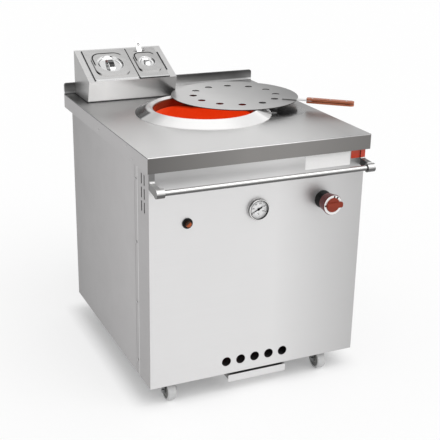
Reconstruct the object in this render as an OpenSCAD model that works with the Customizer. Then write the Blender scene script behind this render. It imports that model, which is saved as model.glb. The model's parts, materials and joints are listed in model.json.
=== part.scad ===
// Gas-fired clay tandoor oven on castors, with a topping unit on its worktop.
// Working axes: X to the right, Y from the front panel to the rear, Z up from the floor.
// X is zero at the middle of the cabinet and Y is zero at the face of the front panel.

/* [Cabinet] */
// Width of the cabinet
cab_w = 800; // [740:10:860]
// Depth of the cabinet
cab_d = 860; // [830:10:960]
// Height of the cabinet's side that shows below the worktop's edge
side_h = 780; // [740:10:840]
// Gap from the floor to the lower edge of the panels
floor_gap = 80; // [72:1:100]
// Thickness of the panels
sheet = 1.5; // [1:0.1:2.5]
// How far the front panel wraps round each side
wrap_d = 134; // [110:1:160]
// Gap at the seam between the front panel and a side panel
seam_gap = 1.5; // [1:0.1:3]
// Width of the flange that backs the seam
seam_flange = 24; // [20:1:30]
// Width of the lip folded under the front panel
panel_lip = 18; // [10:1:22]
// Thickness of the base pan
base_t = 3; // [2:0.5:5]
// Width of a corner post's leg
post_w = 30; // [20:1:34]
// Thickness of a corner post
post_t = 3; // [2:0.5:5]

/* [Worktop] */
// Height of the worktop's edge
edge_h = 53; // [40:1:60]
// Overhang of the worktop at the front
over_front = 18; // [14:1:24]
// Overhang of the worktop at each side
over_side = 10; // [6:1:16]
// Overhang of the worktop at the rear
over_rear = 73; // [50:1:90]
// Height of the upstand along the rear
upstand_h = 44; // [30:1:60]
// Thickness of the folded upstand
upstand_t = 8; // [6:1:12]
// Corner radius of the upstand
upstand_r = 9; // [4:1:14]
// Thickness of the worktop's sheet
top_sheet = 2; // [1.2:0.1:3]
// Width of the hem folded back under the front edge
front_hem = 10; // [6:1:12]
// Inner radius of the fold along the front edge
fold_r = 1; // [0.5:0.5:4]

/* [Mouth] */
// Sideways place of the mouth from the middle of the cabinet
mouth_x = -12; // [-20:1:20]
// Distance from the cabinet's rear to the middle of the mouth
mouth_back = 397; // [390:1:410]
// Inner diameter of the mouth ring's neck
mouth_d = 372; // [350:1:376]
// Diameter of the ring's foot on the worktop
ring_foot_d = 504; // [480:1:520]
// Distance from the neck's inner side to the ring's crest
ring_crest_in = 16; // [14:1:24]
// Height of the ring's crest above the worktop
ring_h = 25; // [18:1:32]
// Height of the ring's inner edge above the worktop
ring_inner_h = 19; // [12:1:22]
// Radius of the rounded crest
ring_crest_r = 6; // [3:1:6]
// Thickness of the ring's sheet
ring_t = 2; // [1.5:0.1:3]
// How far the neck reaches down through the worktop
neck_drop = 10; // [6:1:16]

/* [Pot] */
// Height of the drum's floor above the cabinet's base pan
drum_rise = 190; // [180:5:200]
// Gap from the side panel to the drum, on the side that is nearer
drum_side_gap = 35; // [28:1:40]
// Thickness of the drum's steel
drum_t = 1.5; // [1:0.1:3]
// Thickness of the pot's clay wall
clay_t = 38; // [30:1:44]
// Outer radius of the pot at its base
pot_base_r = 236; // [225:1:245]
// How much the belly swells out beyond a straight cone
pot_belly = 74; // [60:1:80]
// Gap from the ring's neck to the pot's rim
rim_gap = 0.7; // [0.5:0.1:1.5]
// Diameter of the flame hole in the pot's floor
flame_hole_d = 220; // [180:5:240]
// Gap between the pot and the insulation round it
pack_gap = 0.5; // [0.3:0.1:2]
// Outer diameter of the deflector plate above the flame hole
deflector_d = 250; // [230:5:280]
// Height of the deflector's legs
deflector_leg_h = 40; // [30:1:60]
// Diameter of the drum stand's legs
stand_leg_d = 34; // [25:1:40]

/* [Burner] */
// Diameter of the burner's head
burner_d = 180; // [150:5:200]
// Height of the burner's head
burner_h = 34; // [28:1:40]
// Height of the burner above the base pan
burner_rise = 110; // [95:1:120]
// Number of flame ports round the burner
burner_ports = 24; // [16:1:30]
// Diameter of the burner's mixing tube
mixing_d = 34; // [28:1:40]
// Length of the mixing tube from the burner's middle
mixing_len = 270; // [240:5:290]
// Outer diameter of the gas pipes
pipe_d = 14; // [12:1:16]
// Sideways place of the gas inlet
inlet_x = 340; // [300:1:345]
// Height of the gas inlet above the base pan
inlet_rise = 120; // [90:1:160]
// Bore of the gas inlet
inlet_bore_d = 15; // [14:0.5:16]
// Outer diameter of the gas inlet's nipple
inlet_od = 21; // [20:0.5:24]
// Length of the nipple behind the rear panel
inlet_len = 45; // [30:1:50]

/* [Controls] */
// Sideways place of the gas knob
knob_x = 241; // [230:1:260]
// Height of the gas knob below the worktop's surface
knob_drop = 221; // [200:1:240]
// Diameter of the knob's skirt
knob_d = 73; // [60:1:80]
// Distance from the front panel to the knob's dial face
knob_reach = 70; // [60:1:80]
// Depth of the knob
knob_depth = 38; // [30:1:42]
// Height of the grip that stands out of the knob
knob_grip_h = 8; // [5:1:12]
// Diameter of the bezel behind the knob
bezel_d = 63; // [56:1:70]
// Depth of the bezel behind the knob
bezel_depth = 22; // [16:1:24]
// Diameter of the valve's stem
stem_d = 8; // [6:0.5:10]
// How far the knob pushes in
push_travel = 5; // [3:0.5:6]
// Radial running clearance of shafts and buttons
run_gap = 0.05; // [0.02:0.01:0.1]
// Sideways place of the igniter button
igniter_x = -267; // [-290:1:-240]
// Height of the igniter button below the worktop's surface
igniter_drop = 241; // [220:1:260]
// Diameter of the igniter's bezel
igniter_bezel_d = 36; // [30:1:40]
// Diameter of the igniter's barrel
igniter_barrel_d = 26; // [22:1:28]
// Diameter of the igniter's button
button_d = 20; // [14:1:20]
// How far the button stands out of the panel
button_reach = 16; // [12:1:20]
// How far the button pushes in
button_travel = 6; // [4:1:8]
// Sideways place of the thermometer
dial_x = -9.5; // [-20:0.5:20]
// Height of the thermometer below the worktop's surface
dial_drop = 225; // [215:1:235]
// Diameter of the thermometer's case
dial_d = 76; // [70:1:84]
// Depth of the thermometer's case
dial_depth = 14; // [12:1:18]
// Wall of the thermometer's case
dial_wall = 4; // [3:0.5:6]
// Diameter of the thermometer's stem
probe_d = 8; // [6:0.5:10]
// Gap left between the stem's tip and the pot
probe_gap = 4; // [2:1:8]
// Number of air holes along the foot of the front panel
vent_count = 5; // [3:1:6]
// Diameter of an air hole
vent_d = 35; // [28:1:38]
// Spacing of the air holes
vent_pitch = 55.5; // [45:0.5:60]
// Sideways place of the row of air holes
vent_x = -3; // [-10:1:10]
// Height of the air holes above the panel's lower edge
vent_rise = 48; // [40:1:60]
// Length of a louvre slot
slot_h = 38; // [30:1:42]
// Width of a louvre slot
slot_w = 7; // [5:0.5:10]
// Spacing of the louvre slots up the side
slot_pitch = 47; // [44:1:60]
// Distance from the front panel to the first column of slots
slot_y = 41; // [38:1:50]
// Spacing of the two columns of slots
slot_gap = 26; // [20:1:32]
// Height of the top row of slots below the worktop's surface
slot_drop = 91; // [80:1:110]

/* [Handrail] */
// Diameter of the rail's tube
rail_d = 19; // [16:1:25]
// Distance from the front panel to the rail's axis
rail_reach = 60; // [50:1:70]
// Height of the rail's axis below the worktop's surface
rail_drop = 106; // [98:1:112]
// Diameter of the round end bosses
boss_d = 31; // [28:1:36]
// Length of an end boss
boss_len = 28; // [22:1:34]
// Width of a bracket's arm and foot
arm_w = 18; // [14:1:22]
// Height of a bracket's arm where it leaves the panel
arm_h = 22; // [16:1:26]
// Height of the foot plate above the arm
foot_h = 34; // [28:1:40]
// Thickness of the foot plate
foot_t = 5; // [4:0.5:8]

/* [Lid] */
// Diameter of the lid plate
lid_d = 490; // [460:2:500]
// Thickness of the lid plate
lid_t = 3; // [2:0.5:5]
// Sideways place of the lid from the middle of the mouth
lid_dx = 180; // [175:1:185]
// Place of the lid behind the middle of the mouth
lid_dy = 113; // [105:1:115]
// Number of holes in the lid
lid_holes = 12; // [8:1:14]
// Diameter of a hole in the lid
lid_hole_d = 29; // [22:1:34]
// Radius of the ring of holes
lid_hole_r = 162; // [140:1:180]
// Direction of the lid's handle
handle_angle = -40; // [-50:1:-30]
// Distance from the lid's edge to the grip
tang_len = 38; // [30:1:50]
// Width of the steel tang
tang_w = 22; // [18:1:24]
// Length of the wooden grip
grip_len = 180; // [150:2:190]
// Width of the wooden grip
grip_w = 27; // [24:1:32]
// Thickness of one wooden scale
scale_t = 7; // [5:0.5:9]
// Diameter of the grip's rivets
rivet_d = 5; // [4:0.5:7]

/* [Topping unit] */
// Sideways place of the housing's left side
box_x = -367; // [-372:1:-360]
// Width of the housing
box_w = 355; // [350:1:356]
// Height of the housing's front face
box_front_h = 83; // [80:1:95]
// Height of the housing's rear face
box_rear_h = 170; // [160:1:185]
// Depth of the housing at its foot
box_foot_d = 172; // [165:1:174]
// How far the front face leans out at its top
box_lean = 24; // [16:1:28]
// Gap between the housing and the upstand
box_rear_gap = 1; // [0.5:0.5:4]
// Thickness of the housing's sheet
box_t = 1.5; // [1:0.1:2.5]
// Width of the large pan's lid
large_lid_w = 174; // [168:1:176]
// Width of the small pan's lid
small_lid_w = 120; // [112:1:122]
// Length of both pan lids
pan_lid_len = 200; // [190:1:202]
// Distance from the housing's left side to the large lid
lid_margin = 29; // [26:1:32]
// Gap between the two pan lids
lid_spacing = 4; // [3:1:6]
// Distance from the slope's front edge to the lids
lid_front_gap = 5; // [4:1:8]
// How much a pan's rim is smaller than its lid on each side
rim_inset = 2; // [1.8:0.1:3]
// Width of a pan's rim
rim_w = 11; // [10:1:13]
// Depth of the pans
pan_depth = 50; // [40:1:52]
// Thickness of the pans and their lids
pan_t = 1; // [0.8:0.1:1.2]
// Gap between a pan and the edge of its cut-out
pan_gap = 1; // [0.5:0.1:1.5]
// Height of the raised pad on a pan lid
pad_h = 5; // [3:0.5:8]
// Diameter of the round dish in the large lid
large_dish_d = 104; // [90:1:110]
// Diameter of the round dish in the small lid
small_dish_d = 66; // [56:1:70]
// Depth of the dish
dish_depth = 10; // [6:1:12]
// Width of the notch for the ladle
notch_w = 46; // [44:1:50]
// Depth of the notch for the ladle
notch_d = 26; // [22:1:32]
// Width of the ladle's handle
ladle_w = 20; // [16:1:22]
// Diameter of the ladle's bowl
ladle_bowl_d = 44; // [40:1:46]
// Depth of the ladle's bowl
ladle_bowl_h = 11; // [9:1:12]
// Length of the ladle's handle above the small pan
ladle_reach = 53; // [45:1:70]
// Distance from the handle's top to the hole that hangs the ladle up
ladle_eye_drop = 26; // [10:1:30]
// Lean of the ladle's handle back from upright
ladle_lean = 28; // [24:1:30]

/* [Drip tray] */
// Width of the tray's front plate
tray_w = 229; // [210:1:240]
// Height of the tray's front plate
tray_h = 27; // [22:1:30]
// Depth of the tray
tray_d = 560; // [500:5:600]
// Sideways place of the tray
tray_x = 9; // [-10:1:20]
// Gap from the front panel's lower edge to the tray
tray_gap = 9; // [8:1:14]
// Thickness of the tray's sheet
tray_t = 1.5; // [1:0.1:2.5]
// Width of the tray's side flanges
tray_flange = 9; // [7:1:12]
// Clearance of the tray in its runners
tray_clear = 0.5; // [0.3:0.1:1.5]

/* [Castors] */
// Height of a castor from the floor to its top plate
castor_h = 105; // [98:1:112]
// Diameter of a castor's wheel
wheel_d = 75; // [70:1:78]
// Width of a castor's wheel
wheel_w = 32; // [26:1:34]
// Distance from the swivel's axis to the wheel's axis
trail = 27; // [22:1:30]
// Distance from the left side to the left castors
castor_in_left = 86; // [80:1:100]
// Distance from the right side to the right castors
castor_in_right = 115; // [90:1:120]
// Distance from the front and the rear to the castors
castor_in_y = 73; // [70:1:90]
// Diameter of the wheel's axle
axle_d = 8; // [6:1:10]
// Diameter of the swivel's kingpin
kingpin_d = 12; // [10:1:14]
// Length of a castor's top plate
plate_l = 95; // [90:1:105]
// Width of a castor's top plate
plate_w = 70; // [62:1:80]

/* [Hidden] */
$fn = 64;

// Small overlap that lets one solid's own pieces join
eps = 0.01;
// Gap left where curved faces of different pieces would touch
seat_gap = 0.3;

// Heights of the cabinet
half_w = cab_w / 2;
panel_top = floor_gap + side_h;
work_z = panel_top + edge_h;
under_z = work_z - top_sheet;
panel_full_h = under_z - floor_gap;
base_z = castor_h;
pan_top_z = base_z + base_t;
rear_y = cab_d + over_rear;
mouth_y = cab_d - mouth_back;
upstand_end = upstand_r + 1;

// Screws through the wraps
screw_d = 5;
screw_head_d = 9;
screw_head_h = 2;
screw_y = wrap_d - seam_flange / 2;
screw_end = 55;
screw_heights = [for (i = [0 : 3]) panel_top - screw_end - i * (side_h - 2 * screw_end) / 3];

// Pot and drum
drum_z = pan_top_z + drum_rise;
pot_z = drum_z + drum_t;
pot_top_z = under_z - neck_drop - rim_gap;
pot_h = pot_top_z - pot_z;
neck_r = mouth_d / 2;
ring_lip_r = ring_t + 4;
drum_d = 2 * (half_w - 2 * sheet - abs(mouth_x) - drum_side_gap);
pot_mouth_r = neck_r + clay_t;
pot_steps = 18;
pot_floor_z = pot_z + clay_t;
top_hole_r = neck_r + ring_t + 6;
insulation_top_z = under_z - 1;
stand_d = drum_d - 10;
stand_ring_w = 40;
stand_ring_t = 5;

// Burner, its bridges and its pilot
burner_z = pan_top_z + burner_rise;
bracket_t = 3;
bracket_w = 24;
bracket_foot = 24;
bracket_offset = burner_d / 2 - 26;
opening_w = tray_w - 2 * tray_flange - 40;
opening_l = 300;
bridge_left = tray_x - opening_w / 2 - 22;
bridge_right = tray_x + opening_w / 2 + 22;
mixing_z = burner_z - mixing_d / 2 - bracket_t - 1;
mixing_angle = -60;
pilot_angle = -15;
pilot_d = 5;
pilot_r = burner_d / 2 + 6;
sensor_r = pilot_r + 14;
pilot_tip = [mouth_x + pilot_r * cos(pilot_angle), mouth_y + pilot_r * sin(pilot_angle), burner_z - 10];
sensor_tip = [
    mouth_x + sensor_r * cos(pilot_angle), mouth_y + sensor_r * sin(pilot_angle), burner_z + 30
];

// Point on the mixing tube's axis, a distance beyond its open end
function mixing_point(beyond) = [
    mouth_x + (mixing_len + beyond) * cos(mixing_angle),
    mouth_y + (mixing_len + beyond) * sin(mixing_angle),
    mixing_z
];

// Places of the controls
knob_z = work_z - knob_drop;
igniter_z = work_z - igniter_drop;
dial_z = work_z - dial_drop;
rail_z = work_z - rail_drop;
vent_z = floor_gap + vent_rise;
slot_z = work_z - slot_drop;
inlet_z = pan_top_z + inlet_rise;

// Gas valve, its plunger and the knob
hub_d = 16;
valve_depth = 52;
valve_w = 46;
valve_h = 58;
valve_tap_gap = 12;
bonnet_len = 12;
valve_y = sheet + bonnet_len;
valve_mid_y = valve_y + valve_depth / 2;
supply_corner_y = 60;
plunger_d = 22;
plunger_len = 8;
plunger_y = valve_y + 1;
knob_back_y = -knob_reach + knob_depth;
knob_grip_w = 20;
pointer_len = knob_d / 2 - 1;

// Igniter
igniter_len = 62;
bezel_face = 4;
lead_d = 5;
lead_end_x = mouth_x - burner_d / 2 - 16;

// Thermometer
case_back = 3;
dial_t = 1;
lens_t = 2;
pin_d = 3;
pointer_angle = 206;
pointer_t = 1;
needle_r = dial_d / 2 - dial_wall - 5;
probe_end_y = mouth_y - pot_r((dial_z - pot_z) / pot_h) - probe_gap;

// Handrail
rail_end = half_w - 3;
foot_top_z = panel_top - 2;
arm_top_z = foot_top_z - foot_h;
arm_fillet = 9;

// Topping unit: the slope runs from the front face's top to the rear face's top
box_rear_y = rear_y - upstand_t - box_rear_gap;
box_foot_y = box_rear_y - box_foot_d;
box_lip_y = box_foot_y - box_lean;
slope_angle = atan2(box_rear_h - box_front_h, box_rear_y - box_lip_y);
large_lid_x = box_x + lid_margin;
small_lid_x = large_lid_x + large_lid_w + lid_spacing;
rim_y = lid_front_gap + rim_inset;
rim_len = pan_lid_len - 2 * rim_inset;
pan_side = rim_inset + rim_w;
pan_y = rim_y + rim_w;
pan_corner = 14;

// A pan's rear wall stops short of the housing's rear wall
pan_rear_room = (box_rear_y - box_lip_y - box_t - 3 - pan_depth * sin(slope_angle)) / cos(slope_angle);
pan_rear_y = min(rim_y + rim_len - rim_w, pan_rear_room);
pan_len = pan_rear_y - pan_y;
lid_plate_z = pan_t;

// Ladle, which leans back in the small pan
notch_x = small_lid_x + small_lid_w / 2 - 6;
ladle_t = 1.5;
ladle_angle = slope_angle + ladle_lean;
ladle_y = pan_rear_y - pan_t - (seat_gap + pan_t * sin(ladle_angle)) / cos(ladle_angle);
ladle_down = 54;
ladle_eye_d = 7;
bowl_ball_r = (ladle_bowl_d * ladle_bowl_d / 4 + ladle_bowl_h * ladle_bowl_h) / (2 * ladle_bowl_h);

// Drip tray
tray_top_z = floor_gap - tray_gap;
tray_z = tray_top_z - tray_h;
tray_body_w = tray_w - 2 * tray_flange;
runner_t = 2;

// Castors
castor_left_x = -half_w + castor_in_left;
castor_right_x = half_w - castor_in_right;
castor_rear_y = cab_d - castor_in_y;
castor_places = [
    [castor_left_x, castor_in_y], [castor_right_x, castor_in_y],
    [castor_left_x, castor_rear_y], [castor_right_x, castor_rear_y]
];
plate_t = 3;
race_h = 7;
fork_t = 3;
fork_gap = 2;
crown_z = castor_h - plate_t - race_h - 0.4;
bolt_dx = plate_w / 2 - 10;
bolt_dy = plate_l / 2 - 10;
leg_x = wheel_w / 2 + fork_gap;
axle_z = wheel_d / 2;

// The lid
lid_x = mouth_x + lid_dx;
lid_y = mouth_y + lid_dy;
lid_z = work_z + ring_h;
lid_r = lid_d / 2;
grip_start = lid_r + tang_len;
grip_end = grip_start + grip_len;
lid_angle_step = 360 / lid_holes;
rivet_places = [for (share = [0.12, 0.5, 0.84]) grip_start + share * grip_len];

// Outer box, whose bottom centre is the origin
box_low_x = -half_w - over_side;
box_high_x = lid_x + (grip_end - grip_w / 2) * cos(handle_angle) + grip_w / 2;
box_low_y = -knob_reach - knob_grip_h;
origin_x = (box_low_x + box_high_x) / 2;
origin_y = (box_low_y + rear_y) / 2;

// Puts a piece from the working axes into the part's frame
module place() {
    translate([-origin_x, -origin_y, 0])
        children();
}

// Extrudes a profile of Y and Z along X
module along_x(x, length) {
    translate([x, 0, 0])
        rotate([90, 0, 90])
            linear_extrude(length)
                children();
}

// Extrudes a profile of X and Z along Y
module along_y(y, length) {
    translate([0, y + length, 0])
        rotate([90, 0, 0])
            linear_extrude(length)
                children();
}

// A box from a low corner and a size
module block(corner, size) {
    translate(corner)
        cube(size);
}

// A cylinder whose axis runs along Y
module rod_y(x, y, z, length, d) {
    translate([x, y, z])
        rotate([-90, 0, 0])
            cylinder(d = d, h = length);
}

// A cylinder whose axis runs along X
module rod_x(x, y, z, length, d) {
    translate([x, y, z])
        rotate([0, 90, 0])
            cylinder(d = d, h = length);
}

// A rectangle with round corners, low corner at the origin
module round_rect(size, r) {
    translate([r, 0])
        square([size[0] - 2 * r, size[1]]);
    translate([0, r])
        square([size[0], size[1] - 2 * r]);
    for (x = [r, size[0] - r], y = [r, size[1] - r])
        translate([x, y])
            circle(r);
}

// A round bar through a list of points, with ball joints at its bends
module bar(points, d) {
    for (i = [0 : len(points) - 2])
        bar_leg(points[i], points[i + 1], d);
    for (i = [1 : 1 : len(points) - 2])
        translate(points[i])
            sphere(d = d);
}

// One straight leg of a round bar, drawn along the axis it follows
module bar_leg(a, b, d) {
    v = b - a;
    length = norm(v);
    translate(a)
        rotate([0, acos(v[2] / length), atan2(v[1], v[0])])
            cylinder(d = d, h = length);
}

// Points of an arc
function arc(cx, cy, r, from, to, steps) =
    [for (i = [0 : steps]) let (a = from + (to - from) * i / steps) [cx + r * cos(a), cy + r * sin(a)]];

// ---------------------------------------------------------------- cabinet

module worktop() {
    color("lightgray")
        difference() {
            union() {
                along_x(-half_w - over_side, cab_w + 2 * over_side)
                    polygon(worktop_fold());
                for (x = [-half_w - over_side, half_w + over_side - top_sheet])
                    along_x(x, top_sheet)
                        polygon(concat(front_fold(fold_r + top_sheet), [[rear_y, work_z], [rear_y, panel_top]]));
                for (x = [-half_w - over_side, half_w + over_side - upstand_end])
                    block([x, rear_y - upstand_t, under_z], [upstand_end, upstand_t, upstand_h + top_sheet]);
            }
            translate([mouth_x, mouth_y, under_z - 1])
                cylinder(r = top_hole_r, h = top_sheet + 2, $fn = 96);
            for (side = [-1, 1])
                upstand_corner(side);
        }
}

// Folded strip seen from the side: front hem, skirt, top, upstand and rear skirt
function worktop_fold() = concat(
    [[front_hem - over_front, panel_top]],
    front_fold(fold_r + top_sheet),
    [
        [rear_y - upstand_t, work_z],
        [rear_y - upstand_t, work_z + upstand_h],
        [rear_y, work_z + upstand_h],
        [rear_y, panel_top],
        [rear_y - top_sheet, panel_top],
        [rear_y - top_sheet, work_z + upstand_h - top_sheet],
        [rear_y - upstand_t + top_sheet, work_z + upstand_h - top_sheet],
        [rear_y - upstand_t + top_sheet, under_z]
    ],
    turned(front_fold(fold_r)),
    [[front_hem - over_front, panel_top + top_sheet]]
);

// Front skirt's face and the fold over its top, on the outer or the inner side of the sheet
function front_fold(r) =
    let (in = fold_r + top_sheet - r)
    concat(
        [[in - over_front, panel_top + in]],
        arc(fold_r + top_sheet - over_front, work_z - fold_r - top_sheet, r, 180, 90, 4)
    );

// What is taken off a corner of the upstand to round it
module upstand_corner(side) {
    mirror([side < 0 ? 1 : 0, 0, 0])
        translate([half_w + over_side - upstand_r, rear_y - upstand_t, work_z + upstand_h - upstand_r])
            difference() {
                block([0, -1, 0], [upstand_r + 1, upstand_t + 2, upstand_r + 1]);
                rod_y(0, -2, 0, upstand_t + 4, 2 * upstand_r);
            }
}

module front_panel() {
    color("gainsboro")
        difference() {
            union() {
                block([-half_w, 0, floor_gap], [cab_w, sheet, panel_full_h]);
                block([-half_w, 0, floor_gap], [cab_w, panel_lip, sheet]);
                for (x = [-half_w, half_w - sheet])
                    block([x, 0, floor_gap], [sheet, wrap_d, panel_full_h]);
            }
            rod_y(knob_x, -1, knob_z, sheet + 2, hub_d + 1);
            rod_y(igniter_x, -1, igniter_z, sheet + 2, igniter_barrel_d + 2 * seat_gap);
            rod_y(dial_x, -1, dial_z, sheet + 2, probe_d + 6);
            for (i = [0 : vent_count - 1])
                rod_y(vent_x + (i - (vent_count - 1) / 2) * vent_pitch, -1, vent_z, sheet + 2, vent_d);
            for (side = [-1, 1], row = [0 : 2], column = [0, 1])
                louvre_slot(side, slot_y + column * slot_gap, slot_z - row * slot_pitch);
            for (side = [-1, 1])
                side_screw_holes(side);
        }
}

// One upright slot with round ends through a side wrap
module louvre_slot(side, y, z) {
    along_x(side * (half_w - sheet / 2) - sheet, 2 * sheet)
        union() {
            translate([y - slot_w / 2, z - slot_h / 2 + slot_w / 2])
                square([slot_w, slot_h - slot_w]);
            for (end = [-1, 1])
                translate([y, z + end * (slot_h - slot_w) / 2])
                    circle(d = slot_w);
        }
}

// Holes for the screws that hold a wrap to the flange behind it
module side_screw_holes(side) {
    for (z = screw_heights)
        rod_x(side * (half_w - sheet) - 2 * sheet, screw_y, z, 4 * sheet, screw_d + 2 * run_gap);
}

module panel_screws() {
    color("silver")
        for (side = [-1, 1], z = screw_heights)
            translate([side * half_w, screw_y, z])
                rotate([0, side * 90, 0]) {
                    cylinder(d = screw_head_d, h = screw_head_h);
                    translate([0, 0, -2 * sheet - 4])
                        cylinder(d = screw_d, h = 2 * sheet + 4 + eps);
                }
}

module side_panel(side) {
    color("darkgray")
        difference() {
            union() {
                block(
                    [side > 0 ? half_w - sheet : -half_w, wrap_d + seam_gap, floor_gap],
                    [sheet, cab_d - wrap_d - seam_gap, panel_full_h]
                );
                block(
                    [side > 0 ? half_w - 2 * sheet : -half_w + sheet, wrap_d - seam_flange, floor_gap],
                    [sheet, 2 * seam_flange, panel_full_h]
                );
            }
            side_screw_holes(side);
        }
}

module rear_panel() {
    color("darkgray")
        difference() {
            block([-half_w + sheet, cab_d - sheet, floor_gap], [cab_w - 2 * sheet, sheet, panel_full_h]);
            rod_y(inlet_x, cab_d - sheet - 1, inlet_z, sheet + 2, inlet_od + 2 * seat_gap);
        }
}

module base_pan() {
    color("darkgray")
        difference() {
            block(
                [-half_w + 2 * sheet, sheet, base_z],
                [cab_w - 4 * sheet, cab_d - 2 * sheet, base_t]
            );
            block(
                [tray_x - opening_w / 2, mouth_y - opening_l / 2, base_z - 1],
                [opening_w, opening_l, base_t + 2]
            );
        }
}

module corner_posts() {
    color("gray")
        for (sx = [-1, 1], sy = [-1, 1])
            translate([sx * (half_w - sheet), sy < 0 ? sheet : cab_d - sheet, pan_top_z])
                mirror([sx > 0 ? 1 : 0, 0, 0])
                    mirror([0, sy > 0 ? 1 : 0, 0])
                        linear_extrude(under_z - pan_top_z)
                            union() {
                                square([post_w, post_t]);
                                square([post_t, post_w]);
                            }
}

// ---------------------------------------------------------------- mouth and pot

// Section of the ring's outer skin, from its foot over the crest and down the neck
function ring_section(t) = concat(
    [[ring_foot_d / 2 - t, 0]],
    [[ring_foot_d / 2 - t, t == 0 ? 2 : 1]],
    arc(neck_r + ring_crest_in, ring_h - ring_crest_r, ring_crest_r - t, 62, 118, 6),
    arc(neck_r + ring_lip_r, ring_inner_h - ring_lip_r, ring_lip_r - t, 90, 180, 5),
    [[neck_r + t, -top_sheet - neck_drop]]
);

// Order of a list turned round
function turned(list) = [for (i = [len(list) - 1 : -1 : 0]) list[i]];

module mouth_ring() {
    color("whitesmoke")
        translate([mouth_x, mouth_y, work_z])
            rotate_extrude($fn = 128)
                polygon(concat(ring_section(0), turned(ring_section(ring_t))));
}

// Outer radius of the pot at a share of its height
function pot_r(t) = pot_base_r + (pot_mouth_r - pot_base_r) * t + pot_belly * sin(180 * t);

// Points of the pot's outer side, moved outward by a gap
function pot_side(gap) =
    [for (i = [0 : pot_steps]) [pot_r(i / pot_steps) + gap, pot_z + pot_h * i / pot_steps]];

// Points of the pot's inner side, from the top down to the floor
function pot_inside() = [
    for (i = [pot_steps : -1 : 0])
        let (z = pot_z + pot_h * i / pot_steps)
            if (z > pot_floor_z + 5) [pot_r(i / pot_steps) - clay_t, z]
];

module clay_pot() {
    color("orangered")
        translate([mouth_x, mouth_y, 0])
            rotate_extrude($fn = 128)
                polygon(concat(
                    [[flame_hole_d / 2, pot_z]],
                    pot_side(0),
                    pot_inside(),
                    [[pot_r(clay_t / pot_h) - clay_t - 6, pot_floor_z]],
                    [[flame_hole_d / 2, pot_floor_z]]
                ));
}

module insulation() {
    color("wheat")
        difference() {
            translate([mouth_x, mouth_y, 0])
                rotate_extrude($fn = 96)
                    polygon(concat(
                        [[drum_d / 2 - drum_t - seat_gap, insulation_top_z]],
                        [[drum_d / 2 - drum_t - seat_gap, pot_z]],
                        pot_side(pack_gap),
                        [[pot_mouth_r + pack_gap, insulation_top_z]]
                    ));
            rod_y(dial_x, 0, dial_z, mouth_y, probe_d + 4);
        }
}

module drum() {
    color("gray")
        difference() {
            translate([mouth_x, mouth_y, 0])
                rotate_extrude($fn = 96)
                    polygon([
                        [flame_hole_d / 2, drum_z],
                        [drum_d / 2, drum_z],
                        [drum_d / 2, under_z],
                        [drum_d / 2 - drum_t, under_z],
                        [drum_d / 2 - drum_t, drum_z + drum_t],
                        [flame_hole_d / 2, drum_z + drum_t]
                    ]);
            rod_y(dial_x, 0, dial_z, mouth_y, probe_d + 4);
        }
}

module drum_stand() {
    color("dimgray")
        translate([mouth_x, mouth_y, 0]) {
            translate([0, 0, drum_z - stand_ring_t])
                difference() {
                    cylinder(d = stand_d, h = stand_ring_t);
                    translate([0, 0, -1])
                        cylinder(d = stand_d - 2 * stand_ring_w, h = stand_ring_t + 2);
                }
            for (a = [45 : 90 : 315])
                rotate([0, 0, a])
                    translate([(stand_d - stand_ring_w) / 2, 0, pan_top_z]) {
                        cylinder(d = stand_leg_d, h = drum_z - stand_ring_t - pan_top_z + eps);
                        cylinder(d = stand_leg_d + 16, h = 4);
                    }
        }
}

// ---------------------------------------------------------------- burner and gas

module burner() {
    color("dimgray")
        translate([mouth_x, mouth_y, 0])
            difference() {
                union() {
                    translate([0, 0, burner_z])
                        rotate_extrude()
                            polygon([
                                [0, 0], [burner_d / 2 - 14, 0], [burner_d / 2, 8],
                                [burner_d / 2, burner_h - 10], [burner_d / 2 - 10, burner_h - 2],
                                [24, burner_h], [0, burner_h - 6]
                            ]);
                    translate([0, 0, mixing_z])
                        rotate([0, 90, mixing_angle])
                            mixing_tube();
                    translate([0, 0, mixing_z])
                        cylinder(d = mixing_d, h = burner_z - mixing_z + 4);
                    translate([0, 0, mixing_z])
                        sphere(d = mixing_d);
                }
                for (i = [0 : burner_ports - 1])
                    rotate([0, 0, (i + 0.5) * 360 / burner_ports])
                        translate([burner_d / 2 - 6, 0, burner_z + burner_h / 2])
                            rotate([0, 90, 0])
                                cylinder(d = 4, h = 12, $fn = 16);
            }
}

// Mixing tube along +Z with a waist and an open bell mouth
module mixing_tube() {
    rotate_extrude()
        polygon([
            [0, 0], [mixing_d / 2, 0],
            [mixing_d / 2, mixing_len * 0.45], [mixing_d / 2 - 5, mixing_len * 0.7],
            [mixing_d / 2 - 5, mixing_len * 0.8], [mixing_d / 2 + 2, mixing_len],
            [mixing_d / 2 - 1, mixing_len], [mixing_d / 2 - 8, mixing_len * 0.8], [0, mixing_len * 0.8]
        ]);
}

// Two bridges that carry the burner across the opening in the base pan
module burner_bracket() {
    color("gray")
        for (side = [-1, 1])
            along_y(mouth_y + side * bracket_offset - bracket_w / 2, bracket_w)
                polygon([
                    [bridge_left - bracket_foot, pan_top_z],
                    [bridge_left + bracket_t, pan_top_z],
                    [bridge_left + bracket_t, burner_z - bracket_t],
                    [bridge_right - bracket_t, burner_z - bracket_t],
                    [bridge_right - bracket_t, pan_top_z],
                    [bridge_right + bracket_foot, pan_top_z],
                    [bridge_right + bracket_foot, pan_top_z + bracket_t],
                    [bridge_right, pan_top_z + bracket_t],
                    [bridge_right, burner_z],
                    [bridge_left, burner_z],
                    [bridge_left, pan_top_z + bracket_t],
                    [bridge_left - bracket_foot, pan_top_z + bracket_t]
                ]);
}

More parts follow.
